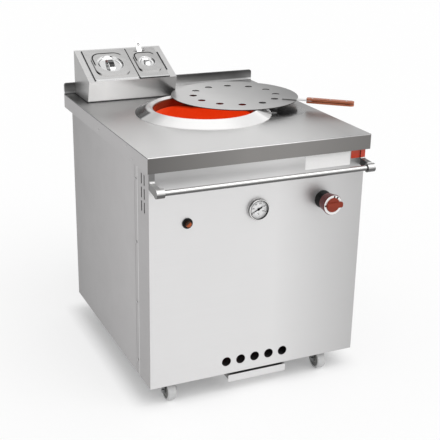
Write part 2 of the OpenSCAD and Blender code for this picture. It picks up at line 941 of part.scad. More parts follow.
module flame_deflector() {
    color("dimgray")
        translate([mouth_x, mouth_y, pot_floor_z]) {
            translate([0, 0, deflector_leg_h])
                rotate_extrude($fn = 96)
                    polygon([
                        [0, 12], [deflector_d / 2, 0], [deflector_d / 2, 4], [deflector_d / 4, 14], [0, 18]
                    ]);
            for (a = [30 : 120 : 270])
                rotate([0, 0, a])
                    translate([deflector_d / 2 - 8, 0, 0])
                        cylinder(d = 10, h = deflector_leg_h + 3);
        }
}

module gas_inlet() {
    color("goldenrod")
        difference() {
            union() {
                rod_y(inlet_x, cab_d - 24, inlet_z, 24 + inlet_len, inlet_od);
                rod_y(inlet_x, cab_d - sheet - 8, inlet_z, 8, inlet_od + 9);
                rod_y(inlet_x, cab_d, inlet_z, 8, inlet_od + 9);
            }
            rod_y(inlet_x, cab_d - 14, inlet_z, inlet_len + 20, inlet_bore_d);
        }
}

module supply_pipe() {
    color("goldenrod")
        bar([
            [inlet_x, cab_d - 24, inlet_z],
            [inlet_x, supply_corner_y, inlet_z],
            [inlet_x, supply_corner_y, knob_z],
            [inlet_x, valve_mid_y, knob_z],
            [knob_x + valve_w / 2, valve_mid_y, knob_z]
        ], pipe_d);
}

module gas_valve() {
    color("goldenrod")
        difference() {
            union() {
                block([knob_x - valve_w / 2, valve_y, knob_z - valve_h / 2], [valve_w, valve_depth, valve_h]);
                rod_y(knob_x, sheet, knob_z, bonnet_len + eps, 34);
                rod_y(knob_x, valve_y + valve_depth, knob_z, 14, 30);
            }
            rod_y(knob_x, sheet - 1, knob_z, 14, stem_d + 2 * run_gap);
            rod_y(knob_x, plunger_y, knob_z, plunger_len + push_travel + 1, plunger_d + 2 * run_gap);
            rod_y(knob_x, plunger_y, knob_z, plunger_len + push_travel + 6, stem_d + 2);
        }
}

module valve_plunger() {
    color("silver")
        difference() {
            rod_y(knob_x, plunger_y + seat_gap, knob_z, plunger_len, plunger_d);
            rod_y(knob_x, plunger_y - 1, knob_z, plunger_len + 3, stem_d + 2 * run_gap);
        }
}

module valve_stem() {
    color("silver") {
        rod_y(knob_x, knob_back_y - 16, knob_z, 16 - knob_back_y + plunger_y + plunger_len + 1, stem_d);
        rod_y(knob_x, plunger_y + seat_gap + plunger_len + seat_gap, knob_z, 1, stem_d + 1);
    }
}

module knob_bezel() {
    color("black")
        difference() {
            translate([knob_x, 0, knob_z])
                rotate([90, 0, 0])
                    rotate_extrude()
                        polygon([
                            [hub_d / 2 + 0.5, 0], [bezel_d / 2, 0], [bezel_d / 2, 5],
                            [bezel_d / 2 - 5, bezel_depth - 2], [bezel_d / 2 - 7, bezel_depth],
                            [bezel_d / 2 - 11, bezel_depth], [bezel_d / 2 - 14, bezel_depth - 6],
                            [hub_d / 2 + 0.5, bezel_depth - 6]
                        ]);
        }
}

module gas_knob() {
    color("firebrick")
        difference() {
            translate([knob_x, knob_back_y, knob_z])
                rotate([90, 0, 0])
                    union() {
                        rotate_extrude()
                            polygon([
                                [0, 0], [knob_d / 2 - 5, 0], [knob_d / 2 - 1.5, knob_depth - 10],
                                [knob_d / 2, knob_depth - 3], [knob_d / 2 - 2, knob_depth], [0, knob_depth]
                            ]);
                        translate([0, 0, knob_depth - eps])
                            cylinder(r1 = knob_d / 2 - 10, r2 = knob_d / 2 - 13, h = knob_grip_h * 0.6);
                        translate([-knob_d / 2 + 12, -knob_grip_w / 2, knob_depth - eps])
                            linear_extrude(knob_grip_h)
                                round_rect([pointer_len + knob_d / 2 - 12, knob_grip_w], 6);
                    }
            rod_y(knob_x, knob_back_y - 16, knob_z, 30, stem_d + 2 * run_gap);
        }
}

module pilot_burner() {
    color("silver")
        translate([mouth_x, mouth_y, 0])
            rotate([0, 0, pilot_angle])
                difference() {
                    union() {
                        translate([pilot_r, 0, burner_z - 10])
                            cylinder(d = 10, h = 36);
                        translate([pilot_r, 0, burner_z + 26 - eps])
                            cylinder(d1 = 14, d2 = 18, h = 10);
                        block([pilot_r - 26, -6, burner_z - 3], [sensor_r - pilot_r + 34, 12, 3]);
                    }
                    translate([sensor_r, 0, burner_z - 5])
                        cylinder(d = pilot_d + 2 * run_gap, h = 10);
                }
}

module pilot_pipe() {
    color("goldenrod")
        bar([
            [knob_x + valve_tap_gap, valve_mid_y, knob_z - valve_h / 2],
            [knob_x + valve_tap_gap, valve_mid_y, pan_top_z + 40],
            [pilot_tip[0], valve_mid_y, pan_top_z + 40],
            [pilot_tip[0], pilot_tip[1], pan_top_z + 40],
            pilot_tip
        ], pilot_d);
}

module thermocouple() {
    color("peru")
        bar([
            [knob_x - valve_tap_gap, valve_mid_y + 16, knob_z - valve_h / 2],
            [knob_x - valve_tap_gap, valve_mid_y + 16, pan_top_z + 25],
            [sensor_tip[0], valve_mid_y + 16, pan_top_z + 25],
            [sensor_tip[0], sensor_tip[1], pan_top_z + 25],
            sensor_tip
        ], pilot_d);
}

module burner_feed_pipe() {
    color("goldenrod")
        bar([
            [knob_x, valve_mid_y, knob_z - valve_h / 2],
            [knob_x, valve_mid_y, mixing_z],
            [mixing_point(30)[0], valve_mid_y, mixing_z],
            mixing_point(30),
            mixing_point(-4)
        ], pipe_d);
}

module igniter_body() {
    color("black")
        difference() {
            union() {
                rod_y(igniter_x, -bezel_face, igniter_z, igniter_len, igniter_barrel_d);
                rod_y(igniter_x, -bezel_face, igniter_z, bezel_face, igniter_bezel_d);
                rod_y(igniter_x, sheet, igniter_z, 6, igniter_barrel_d + 10);
            }
            rod_y(igniter_x, -bezel_face - 1, igniter_z, 31 + button_travel, button_d + 2 * run_gap);
        }
}

module igniter_button() {
    color("firebrick")
        translate([igniter_x, 26 - bezel_face, igniter_z])
            rotate([90, 0, 0])
                rotate_extrude()
                    polygon(concat(
                        [[0, 0], [button_d / 2, 0]],
                        [[button_d / 2, 22 + button_reach - 3]],
                        arc(button_d / 2 - 3, 22 + button_reach - 3, 3, 10, 90, 4),
                        [[0, 22 + button_reach]]
                    ));
}

module ignition_lead() {
    color("black")
        bar([
            [igniter_x, igniter_len - bezel_face, igniter_z],
            [igniter_x, igniter_len + 24, igniter_z],
            [igniter_x, igniter_len + 24, pan_top_z + 30],
            [lead_end_x, igniter_len + 24, pan_top_z + 30],
            [lead_end_x, mouth_y, pan_top_z + 30],
            [lead_end_x, mouth_y, burner_z + 30],
            [lead_end_x + 14, mouth_y, burner_z + 30]
        ], lead_d);
}

// ---------------------------------------------------------------- thermometer

module thermometer_case() {
    color("silver") {
        translate([dial_x, 0, dial_z])
            rotate([90, 0, 0])
                rotate_extrude($fn = 96)
                    polygon([
                        [0, 0], [dial_d / 2 - 4, 0], [dial_d / 2, 4], [dial_d / 2, dial_depth - 3],
                        [dial_d / 2 - 2, dial_depth], [dial_d / 2 - dial_wall - 2, dial_depth],
                        [dial_d / 2 - dial_wall - 2, dial_depth - 1],
                        [dial_d / 2 - dial_wall, dial_depth - 1], [dial_d / 2 - dial_wall, case_back],
                        [0, case_back]
                    ]);
        rod_y(dial_x, -eps, dial_z, probe_end_y, probe_d);
        rod_y(dial_x, sheet, dial_z, 5, probe_d + 14);
        rod_y(dial_x, -dial_depth + 5, dial_z, dial_depth - 5, pin_d);
    }
}

module thermometer_dial() {
    color("white")
        difference() {
            rod_y(dial_x, -case_back - dial_t, dial_z, dial_t, dial_d - 2 * dial_wall - 2 * run_gap);
            rod_y(dial_x, -case_back - dial_t - 1, dial_z, dial_t + 2, pin_d + 2 * run_gap);
        }
}

module thermometer_lens() {
    color("lightblue", 0.4)
        rod_y(
            dial_x, -dial_depth + 1, dial_z, lens_t,
            dial_d - 2 * dial_wall - 2 * run_gap
        );
}

module thermometer_pointer() {
    color("black")
        translate([dial_x, -case_back - dial_t - 1, dial_z])
            rotate([90, 0, 0])
                difference() {
                    union() {
                        cylinder(d = 9, h = pointer_t + 1);
                        rotate([0, 0, pointer_angle])
                            linear_extrude(pointer_t)
                                polygon([
                                    [-14, 3], [0, 2], [needle_r, 0.7],
                                    [needle_r, -0.7], [0, -2], [-14, -3]
                                ]);
                    }
                    translate([0, 0, -1])
                        cylinder(d = pin_d + 2 * run_gap, h = pointer_t + 4);
                }
}

// ---------------------------------------------------------------- handrail

module handrail_tube() {
    color("whitesmoke")
        difference() {
            rod_x(-rail_end, -rail_reach, rail_z, 2 * rail_end, rail_d);
            rod_x(-rail_end - 1, -rail_reach, rail_z, 2 * rail_end + 2, rail_d - 3);
        }
}

// Points of a curve bent once, from a to c with b pulling it
function bend(a, b, c, steps) =
    [for (i = [0 : steps]) let (t = i / steps) a * (1 - t) * (1 - t) + b * 2 * t * (1 - t) + c * t * t];

// Cast bracket seen from the side: a foot plate on the panel and an arm that runs out to the boss
function arm_outline() = concat(
    [[0, arm_top_z - arm_h], [0, foot_top_z]],
    [[-foot_t, foot_top_z]],
    bend(
        [-foot_t, arm_top_z + arm_fillet], [-foot_t, arm_top_z],
        [-foot_t - arm_fillet, arm_top_z], 5
    ),
    [[-rail_reach, rail_z + boss_d * 0.48]],
    bend(
        [-rail_reach + boss_d * 0.2, rail_z - boss_d * 0.42], [-rail_reach * 0.4, rail_z - boss_d * 0.3],
        [-foot_t, arm_top_z - arm_h], 8
    )
);

module handrail_bracket(side) {
    end_x = side * half_w;
    color("silver")
        difference() {
            union() {
                rod_x(side > 0 ? end_x - boss_len : end_x, -rail_reach, rail_z, boss_len, boss_d);
                along_x(end_x - (side > 0 ? arm_w + 1 : -1), arm_w)
                    polygon(arm_outline());
            }
            rod_x(
                side > 0 ? end_x - boss_len - 1 : end_x + 3, -rail_reach, rail_z,
                boss_len - 2, rail_d + 2 * run_gap
            );
        }
}

// ---------------------------------------------------------------- topping unit

// Draws on the slope: Y runs up the slope and Z stands square to it
module on_slope() {
    translate([0, box_lip_y, work_z + box_front_h])
        rotate([slope_angle, 0, 0])
            children();
}

function box_profile(t) = [
    [box_foot_y + t, t == 0 ? 0 : -1],
    [box_lip_y + 1.15 * t, box_front_h - 0.8 * t],
    [box_rear_y - t, box_rear_h - 1.1 * t],
    [box_rear_y - t, t == 0 ? 0 : -1]
];

module topping_housing() {
    color("lightgray")
        difference() {
            translate([0, 0, work_z])
                along_x(box_x, box_w)
                    polygon(box_profile(0));
            translate([0, 0, work_z])
                along_x(box_x + box_t, box_w - 2 * box_t)
                    polygon(box_profile(box_t));
            on_slope()
                for (pan = [[large_lid_x, large_lid_w], [small_lid_x, small_lid_w]])
                    translate([pan[0] + pan_side - pan_gap, pan_y - pan_gap, -8])
                        linear_extrude(12)
                            round_rect(
                                [pan[1] - 2 * (pan_side - pan_gap), pan_len + 2 * pan_gap],
                                pan_corner + pan_gap
                            );
        }
}

// A pan that hangs by its rim in the slope
module pan(x, w) {
    on_slope()
        difference() {
            union() {
                translate([x + rim_inset, rim_y, 0])
                    linear_extrude(pan_t)
                        round_rect([w - 2 * rim_inset, rim_len], 6);
                translate([x + pan_side, pan_y, -pan_depth])
                    linear_extrude(pan_depth + eps)
                        round_rect([w - 2 * pan_side, pan_len], pan_corner);
            }
            translate([x + pan_side + pan_t, pan_y + pan_t, pan_t - pan_depth])
                linear_extrude(pan_depth + 5)
                    round_rect([w - 2 * (pan_side + pan_t), pan_len - 2 * pan_t], pan_corner - pan_t);
        }
}

module large_pan() {
    color("silver")
        pan(large_lid_x, large_lid_w);
}

module small_pan() {
    color("silver")
        pan(small_lid_x, small_lid_w);
}

// A pressed lid: flat plate with turned-down edges, a raised pad and a round dish in the pad
module pan_lid(x, w, dish_d, pad_w, pad_len) {
    mid_x = x + w / 2;
    mid_y = lid_front_gap + pan_lid_len / 2;
    on_slope()
        difference() {
            union() {
                translate([x, lid_front_gap, seat_gap])
                    linear_extrude(lid_plate_z + pan_t - seat_gap)
                        round_rect([w, pan_lid_len], 8);
                translate([mid_x - pad_w / 2, mid_y - pad_len / 2, lid_plate_z])
                    linear_extrude(pad_h + pan_t)
                        round_rect([pad_w, pad_len], pad_w * 0.3);
            }
            translate([x + pan_t, lid_front_gap + pan_t, -1])
                linear_extrude(lid_plate_z + 1)
                    round_rect([w - 2 * pan_t, pan_lid_len - 2 * pan_t], 7);
            translate([mid_x - pad_w / 2 + pan_t, mid_y - pad_len / 2 + pan_t, -1])
                linear_extrude(lid_plate_z + pad_h + 1)
                    round_rect([pad_w - 2 * pan_t, pad_len - 2 * pan_t], pad_w * 0.3 - pan_t);
            translate([mid_x, mid_y, -1])
                cylinder(d = dish_d, h = 30);
        }
    on_slope()
        translate([mid_x, mid_y, lid_plate_z + pad_h])
            rotate_extrude($fn = 96)
                polygon(dish_section(dish_d / 2 + eps));
}

// Section of a shallow dish with a flat floor that hangs from a rim of radius r
function dish_section(r) = concat(
    [[0, -dish_depth]],
    arc(r - dish_depth, 0, dish_depth, 270, 360, 6),
    [[r, pan_t]],
    [[r - pan_t, pan_t]],
    turned(arc(r - dish_depth, 0, dish_depth - pan_t, 270, 360, 6)),
    [[0, pan_t - dish_depth]]
);

module large_pan_lid() {
    color("silver")
        pan_lid(large_lid_x, large_lid_w, large_dish_d, 136, 148);
}

module small_pan_lid() {
    color("silver")
        difference() {
            pan_lid(small_lid_x, small_lid_w, small_dish_d, 92, 128);
            on_slope()
                translate([notch_x - notch_w / 2, lid_front_gap + pan_lid_len - notch_d, -2])
                    linear_extrude(20)
                        round_rect([notch_w, notch_d + 20], 10);
        }
}

// Strap handle that bridges a dish up the slope
module strap(x, w, dish_d, strap_w) {
    mid_x = x + w / 2;
    mid_y = lid_front_gap + pan_lid_len / 2;
    r = dish_d / 2 - 8;
    sink = r * 0.55;
    on_slope()
        translate([mid_x, mid_y, lid_plate_z + pad_h - dish_depth + pan_t])
            difference() {
                along_x(-strap_w / 2, strap_w)
                    translate([0, -sink])
                        circle(r);
                along_x(-strap_w / 2 - 1, strap_w + 2)
                    translate([0, -sink])
                        circle(r - 3);
                block([-strap_w, -2 * r, -2 * r], [2 * strap_w, 4 * r, 2 * r]);
            }
}

module large_lid_handle() {
    color("silver")
        strap(large_lid_x, large_lid_w, large_dish_d, 20);
}

module small_lid_handle() {
    color("silver")
        strap(small_lid_x, small_lid_w, small_dish_d, 14);
}

// Drawn with its handle along Z and its bowl open towards -Y, then leant back
module ladle() {
    color("silver")
        on_slope()
            translate([notch_x, ladle_y, 0])
                rotate([-ladle_angle, 0, 0]) {
                    difference() {
                        block(
                            [-ladle_w / 2, -ladle_t, ladle_bowl_d / 2 - ladle_t - ladle_down],
                            [ladle_w, ladle_t, ladle_down + ladle_reach - ladle_bowl_d / 2 + ladle_t]
                        );
                        rod_y(0, -5, ladle_reach - ladle_eye_drop, 10, ladle_eye_d);
                    }
                    translate([0, -ladle_t, -ladle_down])
                        difference() {
                            bowl_ball(bowl_ball_r);
                            bowl_ball(bowl_ball_r - ladle_t);
                            block(-bowl_ball_r * [1, 2, 1], bowl_ball_r * [2, 2, 2]);
                        }
                }
}

// A ball whose cap beyond Y zero is as deep as the ladle's bowl
module bowl_ball(r) {
    translate([0, ladle_bowl_h - bowl_ball_r, 0])
        sphere(r = r);
}

// ---------------------------------------------------------------- drip tray

module drip_tray() {
    color("silver")
        difference() {
            union() {
                block([tray_x - tray_body_w / 2, 0, tray_z], [tray_body_w, tray_d, tray_h]);
                block([tray_x - tray_w / 2, 0, tray_top_z - tray_t], [tray_w, tray_d, tray_t]);
                along_y(0, tray_t)
                    translate([tray_x - tray_w / 2, tray_z])
                        round_rect([tray_w, tray_h], 6);
            }
            block(
                [tray_x - tray_body_w / 2 + tray_t, tray_t, tray_z + tray_t],
                [tray_body_w - 2 * tray_t, tray_d - 2 * tray_t, tray_h]
            );
        }
}

module tray_runners() {
    web_x = tray_w / 2 + tray_clear;
    ledge_z = tray_top_z - tray_t - seat_gap - runner_t;
    color("gray")
        for (side = [-1, 1])
            translate([tray_x, 0, 0])
                mirror([side > 0 ? 0 : 1, 0, 0]) {
                    block([web_x, 20, ledge_z], [runner_t, tray_d - 20, base_z - ledge_z]);
                    block(
                        [web_x - tray_flange + tray_clear + 1, 20, ledge_z],
                        [tray_flange - tray_clear - 1 + runner_t, tray_d - 20, runner_t]
                    );
                    block([web_x, 20, base_z - runner_t], [20, tray_d - 20, runner_t]);
                }
}

// ---------------------------------------------------------------- mouth lid

// Draws along the lid's handle, with X outward from the middle of the lid
module on_handle() {
    translate([lid_x, lid_y, lid_z])
        rotate([0, 0, handle_angle])
            children();
}

// Outline of the grip from above, with round ends
module grip_outline(w) {
    translate([grip_start + w / 4, -w / 2])
        square([grip_len - w * 3 / 4, w]);
    translate([grip_start, -w / 4])
        square([w / 2, w / 2]);
    for (side = [-1, 1])
        translate([grip_start + w / 4, side * w / 4])
            circle(w / 4);
    translate([grip_end - w / 2, 0])
        circle(w / 2);
}

module mouth_lid() {
    color("darkgray")
        difference() {
            union() {
                translate([lid_x, lid_y, lid_z])
                    cylinder(d = lid_d, h = lid_t, $fn = 128);
                on_handle()
                    translate([lid_r - 55, -tang_w / 2, lid_t])
                        cube([grip_end - grip_w - lid_r + 55, tang_w, lid_t]);
                on_handle()
                    translate([grip_end - grip_w, 0, lid_t])
                        cylinder(d = tang_w, h = lid_t);
            }
            translate([lid_x, lid_y, lid_z - 1])
                for (i = [0 : lid_holes - 1])
                    rotate([0, 0, (i + 0.5) * lid_angle_step])
                        translate([lid_hole_r, 0, 0])
                            cylinder(d = lid_hole_d, h = lid_t + 2);
            on_handle()
                for (x = rivet_places)
                    translate([x, 0, -20])
                        cylinder(d = rivet_d + 2 * run_gap, h = 40);
        }
}

module lid_grip() {
    color("sienna")
        on_handle()
            difference() {
                for (z = [lid_t - scale_t, 2 * lid_t])
                    translate([0, 0, z])
                        linear_extrude(scale_t)
                            grip_outline(grip_w);
                for (x = rivet_places)
                    translate([x, 0, -20])
                        cylinder(d = rivet_d + 2 * run_gap, h = 40);
            }
}

module lid_rivets() {
    color("silver")
        on_handle()
            for (x = rivet_places)
                translate([x, 0, lid_t - scale_t]) {
                    translate([0, 0, -0.5])
                        cylinder(d = rivet_d, h = lid_t + 2 * scale_t + 1);
                    translate([0, 0, lid_t + 2 * scale_t])
                        cylinder(d1 = rivet_d + 3, d2 = rivet_d, h = 1);
                    translate([0, 0, -1])
                        cylinder(d2 = rivet_d + 3, d1 = rivet_d, h = 1);
                }
}

// ---------------------------------------------------------------- castors

module castor_plates() {
    color("silver")
        for (p = castor_places)
            translate([p[0], p[1], 0])
                castor_plate();
}

module castor_plate() {
    translate([-plate_w / 2, -plate_l / 2, castor_h - plate_t])
        cube([plate_w, plate_l, plate_t]);
    translate([0, 0, castor_h - plate_t - race_h])
        cylinder(d = 46, h = race_h + eps);
    translate([0, 0, crown_z - fork_t - 1])
        cylinder(d = kingpin_d, h = race_h + fork_t + 2);
    translate([0, 0, crown_z - fork_t - 3])
        cylinder(d = kingpin_d + 8, h = 3 - seat_gap);
    for (x = [-bolt_dx, bolt_dx], y = [-bolt_dy, bolt_dy])
        translate([x, y, castor_h - plate_t - 5])
            cylinder(d = 13, h = 5 + eps, $fn = 6);
}

// The fork under one top plate, with its axle bolt
module castor_fork(p) {
    color("silver")
        translate([p[0], p[1], 0]) {
            difference() {
                translate([0, 0, crown_z - fork_t])
                    cylinder(r = leg_x + fork_t, h = fork_t);
                translate([0, 0, crown_z - fork_t - 1])
                    cylinder(d = kingpin_d + 2 * run_gap, h = fork_t + 2);
            }
            for (side = [-1, 1])
                along_x(side > 0 ? leg_x : -leg_x - fork_t, fork_t)
                    fork_leg();
            rod_x(-leg_x - fork_t - 2, -trail, axle_z, 2 * (leg_x + fork_t + 2), axle_d);
            for (side = [-1, 1])
                rod_x(side > 0 ? leg_x + fork_t : -leg_x - fork_t - 6, -trail, axle_z, 6, 14);
        }
}

// A fork's leg seen from the side
module fork_leg() {
    polygon([
        [9, crown_z - eps], [-15, crown_z - eps], [-trail - 10, axle_z + 8], [-trail - 10, axle_z],
        [-trail + 10, axle_z - 2], [2, axle_z + 26]
    ]);
    translate([-trail, axle_z])
        circle(r = 11);
}

module castor_wheel(p) {
    color("darkgray")
        translate([p[0] - wheel_w / 2, p[1] - trail, axle_z])
            rotate([0, 90, 0])
                rotate_extrude($fn = 96)
                    polygon(concat(
                        [[axle_d / 2 + run_gap, 0], [14, 0], [15, 4], [wheel_d / 2 - 10, 4], [wheel_d / 2 - 9, 1]],
                        arc(wheel_d / 2 - 6, 6, 6, -90, 0, 5),
                        arc(wheel_d / 2 - 6, wheel_w - 6, 6, 0, 90, 5),
                        [[wheel_d / 2 - 9, wheel_w - 1], [wheel_d / 2 - 10, wheel_w - 4]],
                        [[15, wheel_w - 4], [14, wheel_w], [axle_d / 2 + run_gap, wheel_w]]
                    ));
}

// ---------------------------------------------------------------- all nodes

place() {
    worktop();
    front_panel();
    side_panel(-1);  // side_panel_left
    side_panel(1);  // side_panel_right
    rear_panel();
    base_pan();
    corner_posts();
    panel_screws();
    mouth_ring();
    clay_pot();
    insulation();
    drum();
    drum_stand();
    burner();
    burner_bracket();
    flame_deflector();
    gas_inlet();
    supply_pipe();
    gas_valve();
    burner_feed_pipe();
    pilot_burner();
    pilot_pipe();
    thermocouple();
    knob_bezel();
    valve_plunger();
    valve_stem();
    gas_knob();
    igniter_body();
    igniter_button();
    ignition_lead();
    thermometer_case();
    thermometer_dial();
    thermometer_lens();
    thermometer_pointer();
    handrail_tube();
    handrail_bracket(-1);  // handrail_bracket_left
    handrail_bracket(1);  // handrail_bracket_right
    topping_housing();
    large_pan();
    small_pan();
    large_pan_lid();
    small_pan_lid();
    large_lid_handle();
    small_lid_handle();
    ladle();
    drip_tray();
    tray_runners();
    mouth_lid();
    lid_grip();
    lid_rivets();
    castor_plates();
    castor_fork(castor_places[0]);  // castor_fork_front_left
    castor_fork(castor_places[1]);  // castor_fork_front_right
    castor_fork(castor_places[2]);  // castor_fork_rear_left
    castor_fork(castor_places[3]);  // castor_fork_rear_right
    castor_wheel(castor_places[0]);  // castor_wheel_front_left
    castor_wheel(castor_places[1]);  // castor_wheel_front_right
    castor_wheel(castor_places[2]);  // castor_wheel_rear_left
    castor_wheel(castor_places[3]);  // castor_wheel_rear_right
}
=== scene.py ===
"""Looks of the gas-fired clay tandoor oven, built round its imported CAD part.

Lengths are in millimetres in the part's working axes until row(), at() or MM turns them into metres:
x runs from the middle of the cabinet, y from the front panel's face and z from the floor.
"""

import json
import math

import bmesh
import bpy
from mathutils import Matrix, Vector


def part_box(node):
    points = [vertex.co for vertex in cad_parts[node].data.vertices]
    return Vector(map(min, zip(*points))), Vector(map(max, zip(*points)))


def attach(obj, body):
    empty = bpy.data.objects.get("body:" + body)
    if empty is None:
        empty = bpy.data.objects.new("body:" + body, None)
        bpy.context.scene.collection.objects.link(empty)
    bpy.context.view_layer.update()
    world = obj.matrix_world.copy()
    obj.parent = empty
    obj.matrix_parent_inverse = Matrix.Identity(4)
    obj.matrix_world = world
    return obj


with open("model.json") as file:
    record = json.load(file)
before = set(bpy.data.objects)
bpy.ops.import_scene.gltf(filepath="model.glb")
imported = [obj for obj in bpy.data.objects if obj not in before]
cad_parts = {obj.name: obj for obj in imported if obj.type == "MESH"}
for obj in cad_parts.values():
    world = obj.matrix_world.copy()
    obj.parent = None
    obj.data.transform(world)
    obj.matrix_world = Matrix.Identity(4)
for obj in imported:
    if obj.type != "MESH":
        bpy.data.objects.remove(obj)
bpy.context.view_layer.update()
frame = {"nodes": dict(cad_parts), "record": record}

# ---------------------------------------------------------------- sizes shared with the part

MM = 0.001
CAB_HALF_W = 400
CAB_D = 860
SKIRT_HALF_W = 410
SKIRT_FACE_Y = -18
WORK_Z = 913
MOUTH = (-12, 463)
LID_PLACE = (168, 576)
LID_R = 245
LID_TOP_Z = 941
FOOT_FACE_Y = -5
HOUSING_X = (-367, -12)
HOUSING_Y = (752, 924)
# The topping unit's slope: its front lip in y and z, its angle, and the lids' middle up from the lip
LIP = (728, 996)
SLOPE = math.atan2(87, 196)
LID_MIDDLE = 105
# The topping lids: middle and half width in x, half length up the slope, radius of the dish
TOPPING_LIDS = ((-251, 68, 74, 52), (-100, 46, 64, 33))
LADLE_EYE = (-106, 909, 1095.4)
IGNITER = (-267, 672)
KNOB = (241, 692)
KNOB_FACE_Y = -70
DIAL = (-9.5, 688)
DIAL_FACE_Y = -4

# Where the working axes start in the row frame
ORIGIN = {
    "X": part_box("worktop")[1].x / MM - SKIRT_HALF_W,
    "Y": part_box("front_panel")[0].y / MM,
    "Z": 0,
}


def row(axis, value):
    """A working coordinate along an axis, in metres in the row frame."""
    return value * MM + ORIGIN[axis] * MM


def at(x, y, z):
    """A point of the working axes, in metres in the row frame."""
    return Vector((row("X", x), row("Y", y), row("Z", z)))


# ---------------------------------------------------------------- meshes

SHARP_ANGLE = 35
CORNER_STEPS = 6


def make_object(name, bm):
    """Ends a bmesh as an object of that name."""
    mesh = bpy.data.meshes.new(name)
    bmesh.ops.recalc_face_normals(bm, faces=bm.faces)
    bm.to_mesh(mesh)
    bm.free()
    obj = bpy.data.objects.new(name, mesh)
    bpy.context.scene.collection.objects.link(obj)
    return obj


def smooth_by_angle(obj):
    """Shades faces smooth, and keeps the edges that are sharper than the angle."""
    obj.data.shade_smooth()
    obj.data.set_sharp_from_angle(angle=math.radians(SHARP_ANGLE))


def polar(r, degrees):
    """A point at a radius and an angle from the right."""
    a = math.radians(degrees)
    return r * math.cos(a), r * math.sin(a)


def arc_points(cx, cy, r, start, end, steps):
    """Points of an arc, in degrees, from start to end."""
    points = []
    for i in range(steps + 1):
        x, y = polar(r, start + (end - start) * i / steps)
        points.append((cx + x, cy + y))
    return points


def round_rect(w, h, r):
    """Outline of a rectangle with round corners about the origin."""
    points = []
    for cx, cy, start in ((1, 1, 0), (-1, 1, 90), (-1, -1, 180), (1, -1, 270)):
        middle = (cx * (w / 2 - r), cy * (h / 2 - r))
        points += arc_points(*middle, r, start, start + 90, CORNER_STEPS)
    return points


def drawn_in(outline, distance):
    """An outline whose points are moved a distance towards its middle."""
    cx = sum(p[0] for p in outline) / len(outline)
    cy = sum(p[1] for p in outline) / len(outline)
    inner = []
    for x, y in outline:
        d = math.hypot(x - cx, y - cy)
        k = (d - distance) / d
        inner.append((cx + (x - cx) * k, cy + (y - cy) * k))
    return inner


def add_prism(bm, outline, bottom, top, matrix, bevel=0.0):
    """Adds an outline, drawn in its own X and Y, as a prism whose top edge may be bevelled."""
    levels = [(outline, bottom)]
    if bevel:
        levels += [(outline, top - bevel), (drawn_in(outline, bevel), top)]
    else:
        levels.append((outline, top))
    rows = [[bm.verts.new(matrix @ Vector((x, y, z))) for x, y in points] for points, z in levels]
    count = len(outline)
    for a, b in zip(rows, rows[1:]):
        for i in range(count):
            j = (i + 1) % count
            bm.faces.new((a[i], a[j], b[j], b[i]))
    bm.faces.new(list(reversed(rows[0])))
    bm.faces.new(rows[-1])


def add_lathe(bm, profile, matrix, segments):
    """Adds a profile of radius and height, turned about its own Z axis. Radius 0 may close its last end."""
    rings = []
    for r, z in profile:
        if r == 0:
            rings.append([bm.verts.new(matrix @ Vector((0, 0, z)))])
            continue
        spots = [polar(r, 360 * i / segments) for i in range(segments)]
        rings.append([bm.verts.new(matrix @ Vector((x, y, z))) for x, y in spots])
    for a, b in zip(rings, rings[1:]):
        for i in range(segments):
            j = (i + 1) % segments
            if len(b) == 1:
                bm.faces.new((a[i], a[j], b[0]))
            else:
                bm.faces.new((a[i], a[j], b[j], b[i]))


def facing(place, outward):
    """Matrix in millimetres whose Z axis points outward from a place and whose Y axis points up."""
    z = Vector(outward).normalized()
    x = Vector((0, 0, 1)).cross(z).normalized()
    y = z.cross(x)
    turn = Matrix((x, y, z)).transposed().to_4x4()
    return Matrix.Translation(place) @ turn @ Matrix.Scale(MM, 4)


# ---------------------------------------------------------------- materials


